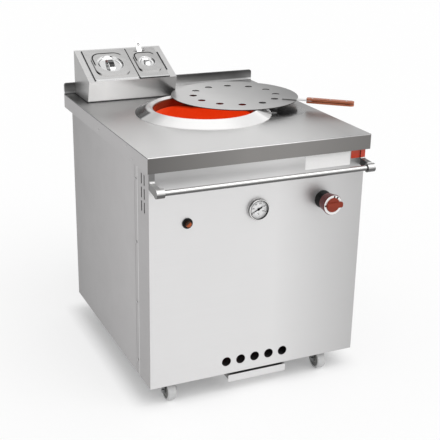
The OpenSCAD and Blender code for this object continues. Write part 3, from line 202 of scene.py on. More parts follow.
class Look:
    """A material under construction: one Principled shader and the nodes that feed it."""

    def __init__(self, name, colour, roughness, metallic=0.0, **sockets):
        self.material = bpy.data.materials.new(name)
        self.material.use_nodes = True
        self.tree = self.material.node_tree
        self.shader = self.tree.nodes["Principled BSDF"]
        self.colour = colour
        self.set("Base Color", (*colour, 1))
        self.set("Roughness", roughness)
        self.set("Metallic", metallic)
        for socket, value in sockets.items():
            self.set(socket.replace("_", " "), value)
        self.normal = None

    def set(self, socket, value):
        """Sets the shader's own number or colour."""
        self.shader.inputs[socket].default_value = value

    def node(self, kind, **settings):
        """Adds a shader node."""
        made = self.tree.nodes.new("ShaderNode" + kind)
        for name, value in settings.items():
            setattr(made, name, value)
        return made

    def link(self, source, target):
        self.tree.links.new(source, target)

    def feed(self, socket, source):
        """Links a value to a socket of the shader."""
        self.link(source, self.shader.inputs[socket])

    def fed(self, socket):
        """What is linked to a socket of the shader."""
        return self.shader.inputs[socket].links[0].from_socket

    # Places and directions

    def place(self, stretch=(1, 1, 1)):
        """Coordinates of the part itself in metres, stretched."""
        coords = self.node("TexCoord")
        mapping = self.node("Mapping")
        mapping.inputs["Scale"].default_value = stretch
        self.link(coords.outputs["Object"], mapping.inputs["Vector"])
        return mapping.outputs["Vector"]

    def split(self, vector):
        """The X, Y and Z of a vector."""
        made = self.node("SeparateXYZ")
        self.link(vector, made.inputs["Vector"])
        return made.outputs

    def vector(self, operation, source, value, output="Vector"):
        """A vector calculation of a linked vector with a fixed one."""
        made = self.node("VectorMath", operation=operation)
        self.link(source, made.inputs[0])
        made.inputs[1].default_value = value
        return made.outputs[output]

    def distance(self, point, axes=(1, 1, 1)):
        """How far the part's point lies from another in metres, along the axes that are 1."""
        offset = self.vector("SUBTRACT", self.place(), point)
        kept = self.vector("MULTIPLY", offset, axes)
        return self.vector("DISTANCE", kept, (0, 0, 0), "Value")

    def toward(self, direction, origin=(0, 0, 0)):
        """How far the part's point lies from the origin along a direction, in metres."""
        offset = self.vector("SUBTRACT", self.place(), origin)
        return self.vector("DOT_PRODUCT", offset, direction, "Value")

    def ramp(self, axis, start, end):
        """0 to 1 as the part's point goes from start to end along an axis, in working millimetres."""
        value = self.split(self.place())[axis]
        return self.ranged(value, 0, 1, row(axis, start), row(axis, end))

    def band(self, axis, low, high, edge):
        """1 where the part's point lies from low to high along an axis, with soft edges of that width."""
        value = self.split(self.place())[axis]
        return self.between(value, row(axis, low), row(axis, high), edge * MM)

    def turned(self, axis, start, end, either_way=False):
        """0 to 1 as the surface's own direction along an axis goes from start to end."""
        value = self.split(self.node("NewGeometry").outputs["Normal"])[axis]
        if either_way:
            value = self.math("ABSOLUTE", value)
        return self.ranged(value, 0, 1, start, end)

    # Values

    def noise(self, scale, stretch=(1, 1, 1), detail=2.0, rough=0.5, distortion=0.0):
        """Noise fixed to the part, at that many waves in a metre."""
        made = self.node("TexNoise")
        made.inputs["Scale"].default_value = scale
        made.inputs["Detail"].default_value = detail
        made.inputs["Roughness"].default_value = rough
        made.inputs["Distortion"].default_value = distortion
        self.link(self.place(stretch), made.inputs["Vector"])
        return made.outputs["Fac"]

    def ranged(self, value, low, high, from_low=0.0, from_high=1.0):
        """A value carried from one range to another, and held inside it."""
        made = self.node("MapRange", clamp=True)
        made.inputs["From Min"].default_value = from_low
        made.inputs["From Max"].default_value = from_high
        made.inputs["To Min"].default_value = low
        made.inputs["To Max"].default_value = high
        self.link(value, made.inputs["Value"])
        return made.outputs["Result"]

    def between(self, value, low, high, edge):
        """1 where the value lies from low to high, with soft edges of that width."""
        rising = self.ranged(value, 0, 1, low - edge, low)
        falling = self.ranged(value, 1, 0, high, high + edge)
        return self.math("MULTIPLY", rising, falling)

    def math(self, operation, a, b=None):
        """A calculation with linked values and plain numbers."""
        made = self.node("Math", operation=operation)
        for slot, value in enumerate((a, b)):
            if value is None:
                continue
            if isinstance(value, (int, float)):
                made.inputs[slot].default_value = value
            else:
                self.link(value, made.inputs[slot])
        return made.outputs[0]

    def both(self, first, *others):
        """The product of factors, which is 1 where all of them are."""
        for factor in others:
            first = self.math("MULTIPLY", first, factor)
        return first

    def hypot(self, a, b):
        """Length of the sides a and b at a right angle."""
        squares = self.math("ADD", self.math("POWER", a, 2.0), self.math("POWER", b, 2.0))
        return self.math("SQRT", squares)

    # Colours

    def mixed(self, factor, a, b, blend="MIX"):
        """Colour a where factor is 0 and b where it is 1. Each is a colour or a socket."""
        made = self.node("Mix", data_type="RGBA", blend_type=blend)
        self.link(factor, made.inputs["Factor"])
        colours = [socket for socket in made.inputs if socket.type == "RGBA"]
        for socket, value in zip(colours, (a, b)):
            if isinstance(value, tuple):
                socket.default_value = (*value, 1)
            else:
                self.link(value, socket)
        return next(socket for socket in made.outputs if socket.type == "RGBA")

    def shaded(self, factor, spread):
        """The material's colour, from darker to lighter by the spread."""
        dark = tuple(max(0, c * (1 - spread)) for c in self.colour)
        light = tuple(min(1, c * (1 + spread)) for c in self.colour)
        return self.mixed(factor, dark, light)

    def recoloured(self, factor, colour):
        """Changes the base colour to another where factor is 1, over what is linked there."""
        self.feed("Base Color", self.mixed(factor, self.fed("Base Color"), colour))

    def dimmed(self, factor, share):
        """Darkens what is linked as base colour to a share of itself where factor is 1."""
        shares = (share, share, share)
        self.feed("Base Color", self.mixed(factor, self.fed("Base Color"), shares, "MULTIPLY"))

    def bump(self, height, strength, distance):
        """Adds relief over any that is there."""
        made = self.node("Bump")
        made.inputs["Strength"].default_value = strength
        made.inputs["Distance"].default_value = distance
        self.link(height, made.inputs["Height"])
        if self.normal is not None:
            self.link(self.normal, made.inputs["Normal"])
        self.normal = made.outputs["Normal"]
        self.feed("Normal", self.normal)


# Stretch of a brushed face's noise, as counts in a metre along its lines and across them
ALONG = 3
ACROSS = 900
GRAIN = {
    "level": (ALONG, ALONG, ACROSS),  # lines run level round the upright faces
    "wide": (ALONG, ACROSS, ACROSS),  # lines run from side to side
    "even": (ACROSS, ACROSS, ACROSS),  # a fine tooth with no lines
}
SHEET_METALLIC = 0.9
TONE_SPREAD = 0.12


def brushed_steel(name, colour, roughness, grain, tone, cloud, smear=0.06):
    """Brushed sheet: fine lines along the grain, and slow changes of tone across the sheet."""
    look = Look(name, colour, roughness, SHEET_METALLIC)
    lines = look.noise(1.0, GRAIN[grain], detail=4.0, rough=0.65)
    clouds = look.noise(3.5, detail=3.0)
    tones = look.math("ADD", look.ranged(lines, -tone, tone), look.ranged(clouds, -cloud, cloud))
    factor = look.ranged(tones, 0, 1, -TONE_SPREAD, TONE_SPREAD)
    look.feed("Base Color", look.shaded(factor, TONE_SPREAD))
    smears = look.noise(9.0, detail=5.0, rough=0.6, distortion=0.6)
    worn = look.math("ADD", look.ranged(lines, -0.05, 0.05), look.ranged(smears, -smear, smear))
    look.feed("Roughness", look.ranged(worn, roughness - 0.1, roughness + 0.12, -0.1, 0.12))
    look.bump(lines, 0.12, 0.0002)
    return look


def polished_steel(name, colour, roughness, ripple):
    """Spun or polished steel with faint ripples and hand marks."""
    look = Look(name, colour, roughness, 1.0)
    marks = look.noise(40.0, detail=5.0, rough=0.65)
    look.feed("Base Color", look.shaded(marks, 0.04))
    look.feed("Roughness", look.ranged(marks, roughness * 0.6, roughness * 1.6))
    look.bump(look.noise(14.0), ripple, 0.0015)
    return look


def plain_metal(name, colour, roughness, metallic=0.8, spots=0.08, grain=0.2):
    """Plain mill or plated metal with spotty tone and a fine tooth."""
    look = Look(name, colour, roughness, metallic)
    tooth = look.noise(350.0, detail=4.0, rough=0.7)
    patches = look.noise(18.0, detail=4.0, rough=0.6)
    look.feed("Base Color", look.shaded(patches, spots))
    look.feed("Roughness", look.ranged(patches, roughness - 0.07, roughness + 0.1))
    look.bump(tooth, grain, 0.0002)
    return look


def moulded_plastic(name, colour, roughness, **sockets):
    """Moulded plastic with a fine orange-peel skin."""
    look = Look(name, colour, roughness, 0.0, **sockets)
    peel = look.noise(700.0)
    patches = look.noise(60.0, detail=4.0, rough=0.6)
    look.feed("Base Color", look.shaded(patches, 0.12))
    look.feed("Roughness", look.ranged(patches, roughness - 0.06, roughness + 0.08))
    look.bump(peel, 0.08, 0.0001)
    return look


# Painted shade and painted highlight tones that more than one finish uses
PAINTED_SHADE_BLACK = (0.03, 0.03, 0.03)
PAINTED_EDGE_HIGHLIGHT = (0.80, 0.80, 0.80)
PAINTED_HIGHLIGHT_WHITE = (0.98, 0.98, 0.98)
# Stretches of x or y that more than one finish darkens along, from where the shade starts
RIGHTWARD_X = (60, 400)
REARWARD_Y = (200, CAB_D)
# The middle of the painted shadow on the worktop under the lid, and the metres from it where it starts to
# fade and has gone
LID_SHADOW_SPOT = (262, 400)
LID_SHADOW_REACH = (0.062, 0.110)


def worktop_finish():
    """The worktop's brushed steel, with painted shade on its front skirt, and side skirts painted in the
    side panels' shade.
    """
    look = brushed_steel("worktop_steel", (0.74, 0.735, 0.73), 0.30, "wide", 0.03, 0.02, smear=0.02)
    # Painted shade darkens the top towards its right side, most of all at the rear, and in its left rear
    # corner
    rightward = look.ramp("X", 60, 330)
    look.dimmed(rightward, 0.55)
    look.dimmed(look.both(rightward, look.ramp("Y", 150, 450)), 0.55)
    look.dimmed(look.both(look.ramp("X", -100, -400), look.ramp("Y", 100, 850)), 0.66)
    # A painted shadow darkens the worktop beside the mouth, under the lid, where it is smoother too
    lid_shadow = look.ranged(look.distance(at(*LID_SHADOW_SPOT, WORK_Z)), 1, 0, *LID_SHADOW_REACH)
    look.dimmed(lid_shadow, 0.03)
    look.feed("Roughness", look.both(look.fed("Roughness"), look.ranged(lid_shadow, 1, 0.25)))
    # Painted shade darkens the corner between its left edge and the topping unit
    beside = look.ramp("X", HOUSING_X[0] + 5, HOUSING_X[0] - 5)
    behind = look.ramp("Y", 700, 770)
    level = look.ramp("Z", WORK_Z + 3, WORK_Z + 1)
    look.dimmed(look.both(beside, behind, level), 0.25)
    # The upstand's face has painted shade along its top, and a painted highlight at its foot
    look.dimmed(look.both(look.ramp("Z", 926, 950), behind), 0.34)
    look.recoloured(look.band("Z", WORK_Z + 4, WORK_Z + 9, 3), PAINTED_EDGE_HIGHLIGHT)
    # The front skirt is painted darker as painted shade, and that shade is lightest in its middle
    below_fold = look.ramp("Z", WORK_Z - 2, WORK_Z - 4)
    front = look.both(look.ramp("Y", SKIRT_FACE_Y + 3, SKIRT_FACE_Y + 2), below_fold)
    look.recoloured(front, (0.262, 0.254, 0.246))
    for middle, end, share in ((-60, -400, 0.56), (120, 400, 0.74)):
        look.dimmed(look.both(front, look.ramp("X", middle, end)), share)
    # The side skirts are painted in the side panels' shade, with more painted shade towards the rear, and a
    # painted dark line of shade at their fold
    x = look.split(look.place())["X"]
    aside = look.math("ABSOLUTE", look.math("SUBTRACT", x, row("X", 0)))
    outer = look.math("GREATER_THAN", aside, (SKIRT_HALF_W - 1) * MM)
    side = look.both(outer, below_fold)
    look.recoloured(side, (0.39, 0.38, 0.382))
    look.dimmed(look.both(side, look.ramp("Y", *REARWARD_Y)), 0.76)
    look.recoloured(look.both(outer, look.band("Z", WORK_Z - 3, WORK_Z - 0.5, 0.5)), PAINTED_SHADE_BLACK)
    return look


def panel_finish():
    """The front panel's fine brushed steel, with painted shade on its right, under the worktop and round
    its sides.
    """
    look = brushed_steel("panel_steel", (0.77, 0.765, 0.765), 0.42, "level", 0.03, 0.02)
    # Painted shade on the right, and a painted shadow under the worktop at the left
    look.dimmed(look.ramp("X", *RIGHTWARD_X), 0.68)
    look.dimmed(look.both(look.ramp("Z", 775, 830), look.ramp("X", 100, -300)), 0.64)
    # Faces that look sideways are painted a darker grey as painted shade
    look.recoloured(look.turned("X", 0.6, 0.8, either_way=True), (0.42, 0.41, 0.412))
    # Its rear edge gets a painted highlight, and the walls of its slots are painted black as painted shade
    look.recoloured(look.band("Y", 106.5, 109, 0.5), PAINTED_EDGE_HIGHLIGHT)
    across = look.turned("Y", 0.6, 0.8, either_way=True)
    look.recoloured(look.both(across, look.band("Y", 4, 100, 1)), (0.02, 0.02, 0.02))
    return look


def side_finish():
    """The side panels' brushed steel, painted darker than the front panel as painted shade, with more
    towards the rear, and dark at its front seam.
    """
    look = brushed_steel("side_steel", (0.45, 0.44, 0.442), 0.42, "level", 0.03, 0.02)
    # Painted shade deepens towards the rear
    look.dimmed(look.ramp("Y", *REARWARD_Y), 0.66)
    look.recoloured(look.ramp("Y", 117, 116), (0.04, 0.04, 0.04))
    return look


def housing_finish():
    """The topping unit's brushed steel, with painted shade on its left side, and on its front, deepening to
    the right.
    """
    look = brushed_steel("housing_steel", (0.84, 0.835, 0.83), 0.30, "level", 0.03, 0.03)
    # Painted shade on the left side, and on the front, most of all at the right
    look.dimmed(look.ramp("X", HOUSING_X[0] + 0.8, HOUSING_X[0] + 0.4), 0.40)
    front = look.turned("Y", -0.6, -0.8)
    look.dimmed(front, 0.84)
    look.dimmed(look.both(front, look.ramp("X", -300, -80)), 0.38)
    return look


def lid_finish():
    """The mouth lid's worn steel, with painted shade on the far right, and painted black shade below and on
    its cut edges.
    """
    look = brushed_steel("lid_steel", (0.62, 0.615, 0.61), 0.32, "even", 0.05, 0.06, smear=0.04)
    # Painted shade on the far right
    look.dimmed(look.ramp("X", *RIGHTWARD_X), 0.28)
    # Faces that look down are painted near black as painted shade
    downward = look.turned("Z", 0.6, 0.3)
    plate = look.ramp("Z", LID_TOP_Z + 0.6, LID_TOP_Z + 0.2)
    look.recoloured(look.both(downward, plate), (0.035, 0.032, 0.03))
    # The tang is bright beyond the lid, and its edges between the wooden scales take on their colour
    reach = look.distance(at(*LID_PLACE, LID_TOP_Z))
    look.recoloured(look.ranged(reach, 0, 1, LID_R * MM, (LID_R + 1) * MM), (0.85, 0.845, 0.84))
    look.recoloured(look.both(look.ramp("X", 388, 396), downward), (0.13, 0.045, 0.022))
    return look


def ring_finish():
    """The mouth ring's bright steel, with a painted red reflection of the glow down its neck, painted shade
    on its left, and a painted dark reflection at its left end.
    """
    look = Look("polished_steel", (0.97, 0.965, 0.96), 0.16, 0.2)
    marks = look.noise(40.0, detail=5.0, rough=0.65)
    look.feed("Base Color", look.shaded(marks, 0.03))
    look.feed("Roughness", look.ranged(marks, 0.10, 0.26))
    centre = at(*MOUTH, 0)
    radius = look.distance(centre, (1, 1, 0))
    # How far a point is turned to the left end, from 1 there to 0 a quarter of the ring away
    leftward = look.math("DIVIDE", look.toward((*polar(1, 165), 0), centre), radius)
    slope = look.between(radius, 0.216, 0.251, 0.006)
    # A painted dark reflection on the outer slope at the left end
    look.dimmed(look.both(look.ranged(leftward, 0, 1, 0.935, 0.955), slope), 0.03)
    # Painted shade over the ring's left
    look.dimmed(look.ranged(leftward, 0, 1, 0.70, 0.85), 0.66)
    # Down its neck the ring is painted red, a painted reflection of the glow
    neck = look.ranged(radius, 1, 0, 0.1885, 0.190)
    look.recoloured(look.both(neck, look.ramp("Z", 935, 930)), (0.20, 0.045, 0.02))
    return look


def past_pad(look, aside, ahead, half_w, half_l):
    """How far a point lies outside a topping lid's raised pad with its round corners, in metres."""
    corner = 0.6 * half_w
    over = []
    for offset, half in ((aside, half_w), (ahead, half_l)):
        side = look.math("SUBTRACT", look.math("ABSOLUTE", offset), (half - corner) * MM)
        over.append(look.math("MAXIMUM", side, 0.0))
    return look.math("SUBTRACT", look.hypot(*over), corner * MM)


def pan_finish():
    """Polished pans and lids, with painted highlights on dishes and rims, painted dark reflections on
    shoulders and handles, and painted shade on left faces and inside.
    """
    look = polished_steel("pan_steel", (0.76, 0.755, 0.75), 0.12, 0.25)
    lip = at(0, *LIP)
    along = look.toward((0, math.cos(SLOPE), math.sin(SLOPE)), lip)
    height = look.toward((0, -math.sin(SLOPE), math.cos(SLOPE)), lip)
    for mid_x, half_w, half_l, dish_r in TOPPING_LIDS:
        aside = look.math("SUBTRACT", look.split(look.place())["X"], row("X", mid_x))
        ahead = look.math("SUBTRACT", along, LID_MIDDLE * MM)
        # A painted highlight fills the dish
        reach = look.hypot(aside, ahead)
        look.recoloured(look.ranged(reach, 1, 0, dish_r * MM, (dish_r + 2) * MM), PAINTED_HIGHLIGHT_WHITE)
        # A painted dark reflection along the pad's rear left shoulder
        shoulder = look.between(past_pad(look, aside, ahead, half_w, half_l), -0.0075, -0.0030, 0.0012)
        rearward = look.math("SUBTRACT", ahead, look.math("MULTIPLY", aside, 0.5))
        look.dimmed(look.both(shoulder, look.ranged(rearward, 0, 1, 0.02, 0.03)), 0.05)
        # Painted shade makes a dark crescent in the dish's front left
        bowl = look.between(reach, (dish_r - 11) * MM, (dish_r - 2) * MM, 0.0015)
        forward = look.math("ADD", ahead, look.math("MULTIPLY", aside, 0.8))
        look.dimmed(look.both(bowl, look.ranged(forward, 1, 0, -0.03, -0.01)), 0.10)
    # The lids' front rims get a painted highlight, and faces that look left get painted shade
    look.recoloured(look.ranged(along, 1, 0, 0.012, 0.014), PAINTED_HIGHLIGHT_WHITE)
    look.dimmed(look.turned("X", -0.6, -0.85), 0.12)
    # The strap handles are painted darker, and black towards their front, as a painted dark reflection
    raised = look.ranged(height, 0, 1, 0.0075, 0.0085)
    strap = look.both(raised, look.ranged(along, 1, 0, 0.150, 0.155))
    look.dimmed(strap, 0.45)
    look.dimmed(look.both(strap, look.ranged(along, 1, 0, 0.098, 0.108)), 0.08)
    # The ladle's handle stands above everything else and is a little darker, and round its eye painted
    # shade shows dark as through the hole
    look.dimmed(look.ramp("Z", 1081.5, 1083), 0.80)
    look.dimmed(look.ranged(look.distance(at(*LADLE_EYE)), 1, 0, 0.0052, 0.0062), 0.05)
    # Below the lids the pans are painted black as painted shade
    look.recoloured(look.ranged(height, 1, 0, -0.006, -0.003), PAINTED_SHADE_BLACK)
    return look


def tube_finish(name, colour, roughness, ripple):
    """Polished round metal with painted shade on its underside."""
    look = polished_steel(name, colour, roughness, ripple)
    look.dimmed(look.turned("Z", 0.30, -0.05), 0.20)
    return look


def bracket_finish():
    """The brackets' casting: satin on the left one, and on the right one an arm with a painted dark
    reflection of the skirt.
    """
    look = tube_finish("bracket_cast", (0.74, 0.735, 0.73), 0.16, 0.15)
    right = look.ramp("X", -10, 10)
    arm = look.both(look.band("Y", -44, -8, 6), right)
    satin = look.math("MAXIMUM", look.fed("Roughness"), look.ranged(right, 0.45, 0.0))
    look.feed("Roughness", satin)
    # Painted dark reflection on the right arm's top and left faces
    look.dimmed(look.both(arm, look.turned("Z", 0.5, 0.8)), 0.10)
    look.dimmed(look.both(arm, look.turned("X", -0.5, -0.8)), 0.30)
    return look


def knob_finish():
    """The knob's plastic: orange-brown grip in front of a maroon drum."""
    look = moulded_plastic("red_plastic", (0.24, 0.027, 0.008), 0.34, Specular_IOR_Level=0.3)
    look.recoloured(look.ramp("Y", KNOB_FACE_Y - 0.5, KNOB_FACE_Y + 0.5), (0.11, 0.014, 0.013))
    return look


def button_finish():
    """The igniter's button: orange-brown, with painted shade on its upper left."""
    look = moulded_plastic("button_plastic", (0.36, 0.075, 0.015), 0.32, Specular_IOR_Level=0.3)
    upward = look.toward((-0.6, 0, 0.8), at(IGNITER[0], 0, IGNITER[1]))
    # Painted shade on the upper left
    look.recoloured(look.ranged(upward, 0, 1, 0.000, 0.005), (0.035, 0.014, 0.006))
    return look


def case_finish():
    """The thermometer's bright case, with painted shade as dark lines inside and outside its rim."""
    look = polished_steel("dial_case", (0.86, 0.855, 0.85), 0.14, 0.05)
    radius = look.distance(at(DIAL[0], 0, DIAL[1]), (1, 0, 1))
    look.dimmed(look.ranged(radius, 1, 0, 0.0342, 0.0346), 0.08)
    look.dimmed(look.ranged(radius, 0, 1, 0.0370, 0.0376), 0.14)
    return look


def glowing_clay():
    """Unglazed clay, with a painted red glow on the pot's inner side below its rim."""
    look = Look("clay", (0.45, 0.15, 0.065), 0.9, 0.0)
    body = look.noise(22.0, detail=6.0, rough=0.65)
    look.feed("Base Color", look.shaded(body, 0.3))
    # The painted glow reaches higher at both sides of the opening than at its middle, and above that height
    # the clay is painted near black as painted shade under the lid
    place = look.split(look.place())
    aside = look.math("ABSOLUTE", look.math("SUBTRACT", place["X"], row("X", 60)))
    height = look.math("SUBTRACT", place["Z"], look.ranged(aside, 0, 0.034, 0.04, 0.20))
    look.recoloured(look.ranged(height, 0, 1, 0.876, 0.888), (0.030, 0.012, 0.008))
    look.bump(look.noise(90.0, detail=6.0, rough=0.7), 0.5, 0.002)
    # A face is on the inner side where its own direction points to the pot's middle
    geometry = look.node("NewGeometry")
    outward = look.vector("SUBTRACT", geometry.outputs["Position"], at(*MOUTH, 0))
    flat = look.vector("MULTIPLY", outward, (1, 1, 0))
    turned_in = look.node("VectorMath", operation="DOT_PRODUCT")
    look.link(flat, turned_in.inputs[0])
    look.link(geometry.outputs["Normal"], turned_in.inputs[1])
    inside = look.ranged(turned_in.outputs["Value"], 1, 0, -0.04, -0.01)
    # The painted glow: emission on the inner faces below that height
    painted_glow = look.both(inside, look.ranged(height, 1, 0, 0.878, 0.890))
    glow_colour = look.mixed(look.noise(12.0, detail=3.0), (0.40, 0.016, 0.0009), (0.53, 0.029, 0.0016))
    look.feed("Emission Color", look.mixed(painted_glow, (0.0, 0.0, 0.0), glow_colour))
    look.set("Emission Strength", 1.0)
    return look


# Turn of the lid's handle from the x axis, and of its wood's grain with it
HANDLE_TURN = -40


def turned_wood():
    """Oiled red-brown wood whose grain runs along the lid's handle."""
    look = Look("grip_wood", (0.42, 0.13, 0.06), 0.42, 0.0, Specular_IOR_Level=0.3)
    coords = look.node("TexCoord")
    turn = look.node("Mapping", vector_type="TEXTURE")
    turn.inputs["Rotation"].default_value = (0, 0, math.radians(HANDLE_TURN))
    look.link(coords.outputs["Object"], turn.inputs["Vector"])
    stretch = look.node("Mapping")
    stretch.inputs["Scale"].default_value = (6, 90, 90)
    look.link(turn.outputs["Vector"], stretch.inputs["Vector"])
    grain = look.node("TexNoise")
    grain.inputs["Scale"].default_value = 2.2
    grain.inputs["Detail"].default_value = 7
    grain.inputs["Distortion"].default_value = 0.8
    look.link(stretch.outputs["Vector"], grain.inputs["Vector"])
    factor = look.ranged(grain.outputs["Fac"], 0, 1, 0.3, 0.7)
    look.feed("Base Color", look.mixed(factor, (0.27, 0.070, 0.028), (0.60, 0.205, 0.105)))
    look.feed("Roughness", look.ranged(factor, 0.5, 0.35))
    look.bump(grain.outputs["Fac"], 0.25, 0.0006)
    return look


def castor_rubber():
    """A grey wheel: a scuffed dark hub, and a paler tread at the rim."""
    look = Look("castor_tread", (0.22, 0.22, 0.225), 0.6, 0.0)
    coords = look.node("TexCoord")
    offset = look.vector("SUBTRACT", coords.outputs["Generated"], (0.5, 0.5, 0.5))
    flat = look.vector("MULTIPLY", offset, (0, 1, 1))
    radius = look.vector("DISTANCE", flat, (0, 0, 0), "Value")
    tread = look.ranged(radius, 0, 1, 0.375, 0.385)
    scuffs = look.noise(60.0, detail=5.0, rough=0.65)
    hub = look.mixed(scuffs, (0.11, 0.11, 0.105), (0.34, 0.34, 0.33))
    rubber = look.mixed(scuffs, (0.46, 0.46, 0.46), (0.60, 0.60, 0.60))
    look.feed("Base Color", look.mixed(tread, hub, rubber))
    look.feed("Roughness", look.ranged(scuffs, 0.5, 0.7))
    look.bump(scuffs, 0.15, 0.0005)
    return look


def mineral_wool():
    """Pale fibrous insulation."""
    look = Look("wool", (0.62, 0.55, 0.40), 0.95, 0.0)
    fibres = look.noise(120.0, (1, 1, 3), detail=8.0, rough=0.75, distortion=1.2)
    look.feed("Base Color", look.shaded(fibres, 0.25))
    look.bump(fibres, 0.8, 0.003)
    return look


def dial_lens():
    """Clear lens: see-through, with a faint gloss."""
    look = Look("dial_glass", (0.05, 0.05, 0.05), 0.05, 0.0, Alpha=0.03)
    smudge = look.noise(80.0, detail=4.0)
    look.feed("Roughness", look.ranged(smudge, 0.02, 0.09))
    return look


def printed_face(name, colour, roughness):
    """Enamelled or printed face with a barely uneven tone."""
    look = Look(name, colour, roughness, 0.0)
    spots = look.noise(150.0, detail=4.0, rough=0.6)
    look.feed("Base Color", look.shaded(spots, 0.035))
    look.feed("Roughness", look.ranged(spots, roughness - 0.05, roughness + 0.05))
    look.bump(spots, 0.05, 0.0001)
    return look


# The look of each of the record's material slots
LOOKS = {
    "worktop_steel": worktop_finish(),
    "panel_steel": panel_finish(),
    "side_steel": side_finish(),
    "structure_steel": plain_metal("structure_steel", (0.10, 0.103, 0.106), 0.55, 0.6),
    "polished_steel": ring_finish(),
    "screw_steel": polished_steel("screw_steel", (0.55, 0.55, 0.55), 0.28, 0.05),
    "clay": glowing_clay(),
    "wool": mineral_wool(),
    "drum_steel": plain_metal("drum_steel", (0.08, 0.083, 0.086), 0.6, 0.6),
    "cast_burner": plain_metal("cast_burner", (0.035, 0.035, 0.038), 0.75, 0.4, 0.25, 0.7),
    "deflector_steel": plain_metal("deflector_steel", (0.07, 0.055, 0.05), 0.7, 0.4, 0.3, 0.6),
    "gas_brass": plain_metal("gas_brass", (0.55, 0.38, 0.14), 0.35, 0.95, 0.1, 0.15),
    "copper_tube": plain_metal("copper_tube", (0.56, 0.26, 0.13), 0.35, 0.95, 0.14, 0.12),
    "black_plastic": moulded_plastic(
        "black_plastic", (0.006, 0.006, 0.006), 0.38, Specular_IOR_Level=0.2
    ),
    "red_plastic": knob_finish(),
    "button_plastic": button_finish(),
    "rubber_lead": moulded_plastic("rubber_lead", (0.02, 0.02, 0.021), 0.6),
    "dial_case": case_finish(),
    "dial_white": printed_face("dial_white", (0.96, 0.96, 0.96), 0.45),
    "dial_glass": dial_lens(),
    "needle_black": moulded_plastic(
        "needle_black", (0.004, 0.004, 0.004), 0.5, Specular_IOR_Level=0.1
    ),
    "rail_steel": tube_finish("rail_steel", (0.66, 0.655, 0.65), 0.12, 0.05),
    "bracket_cast": bracket_finish(),
    "housing_steel": housing_finish(),
    "pan_steel": pan_finish(),
    "lid_steel": lid_finish(),
    "grip_wood": turned_wood(),
    "castor_zinc": plain_metal("castor_zinc", (0.30, 0.305, 0.31), 0.30, 0.9, 0.2, 0.15),
    "castor_tread": castor_rubber(),
}


def dress_nodes():
    """Gives every CAD node the look of its material slot."""
    for part in frame["record"]["subparts"]:
        mesh = frame["nodes"][part["node"]].data
        mesh.materials.clear()
        mesh.materials.append(LOOKS[part["material_slot"]].material)


dress_nodes()

# ---------------------------------------------------------------- pieces that only the scene holds


def dressed(name, bm, look, body):
    """Ends a bmesh as a smooth piece with its look and the body that it rides on."""
    obj = make_object(name, bm)
    obj.data.materials.append(look.material)
    smooth_by_angle(obj)
    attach(obj, body)


PLATE_T = 0.9
PLATE_BEVEL = 0.3
PLATE_CORNER_R = 2.5
END_CORNER_R = 1.5


def bare_plate(name, x_range, z_range, look, y=0, corner=PLATE_CORNER_R):
    """A thin bare plate on the front, with round corners and a softened edge."""
    x = sum(x_range) / 2
    z = sum(z_range) / 2
    bm = bmesh.new()
    outline = round_rect(x_range[1] - x_range[0], z_range[1] - z_range[0], corner)
    add_prism(bm, outline, 0, PLATE_T, facing(at(x, y, z), (0, -1, 0)), PLATE_BEVEL)
    dressed(name, bm, look, "cabinet")


def make_plates():
    """The pale plate at the right of the rail, and the red one that ends on the bracket's foot."""
    pale = printed_face("plate_pale", (0.93, 0.925, 0.92), 0.35)
    red = printed_face("plate_red", (0.58, 0.050, 0.018), 0.35)
    bare_plate("bare_plate_pale", (165, 342), (805, 854), pale)
    bare_plate("bare_plate_red", (345, 380.5), (827, 857), red)
    bare_plate("bare_plate_red_end", (380.8, 398.5), (827, 857), red, FOOT_FACE_Y, END_CORNER_R)


# Where the skirt rivets are in y and z, and their outline in radius and height
RIVETS = ((131, 869), (190, 899), (486, 877))
RIVET_PROFILE = ((4.2, 0), (4.2, 0.5), (3.6, 1.1), (2.2, 1.5), (1.5, 1.5), (1.2, 1.0), (0, 0.9))


def make_skirt_rivets():
    """Blind rivets through the worktop's side skirts."""
    for side, word in ((-1, "left"), (1, "right")):
        for i, (y, z) in enumerate(RIVETS):
            bm = bmesh.new()
            add_lathe(bm, RIVET_PROFILE, facing(at(side * SKIRT_HALF_W, y, z), (side, 0, 0)), 32)
            dressed(f"skirt_rivet_{word}_{i + 1}", bm, LOOKS["screw_steel"], "cabinet")


BEAD = 3


def make_housing_shadow_bead():
    """A black bead round the front and sides of the topping unit's foot, a dark piece that stands in for
    the shadow line there.
    """
    left, right = HOUSING_X
    foot, rear = HOUSING_Y
    outline = [
        (left - BEAD, rear),
        (left - BEAD, foot - BEAD),
        (right + BEAD, foot - BEAD),
        (right + BEAD, rear),
        (right, rear),
        (right, foot),
        (left, foot),
        (left, rear),
    ]
    bm = bmesh.new()
    matrix = Matrix.Translation(at(0, 0, WORK_Z)) @ Matrix.Scale(MM, 4)
    add_prism(bm, outline, 0, BEAD, matrix)
    dressed("housing_shadow_bead", bm, SHADOW_STRIP_LOOK, "cabinet")


# The strips' ends in x and up the slope from its lip, and the levels that they lie between over it
STRIPS = {
    "left": (-342, -338.6, 7, 203),
    "middle": (-163.5, -160.5, 2, 203),
    "right": (-39.4, -34.4, 48, 168),
    "front": (-160.4, -40, 2, 4.6),
}
STRIP_LEVELS = (0.2, 3.2)


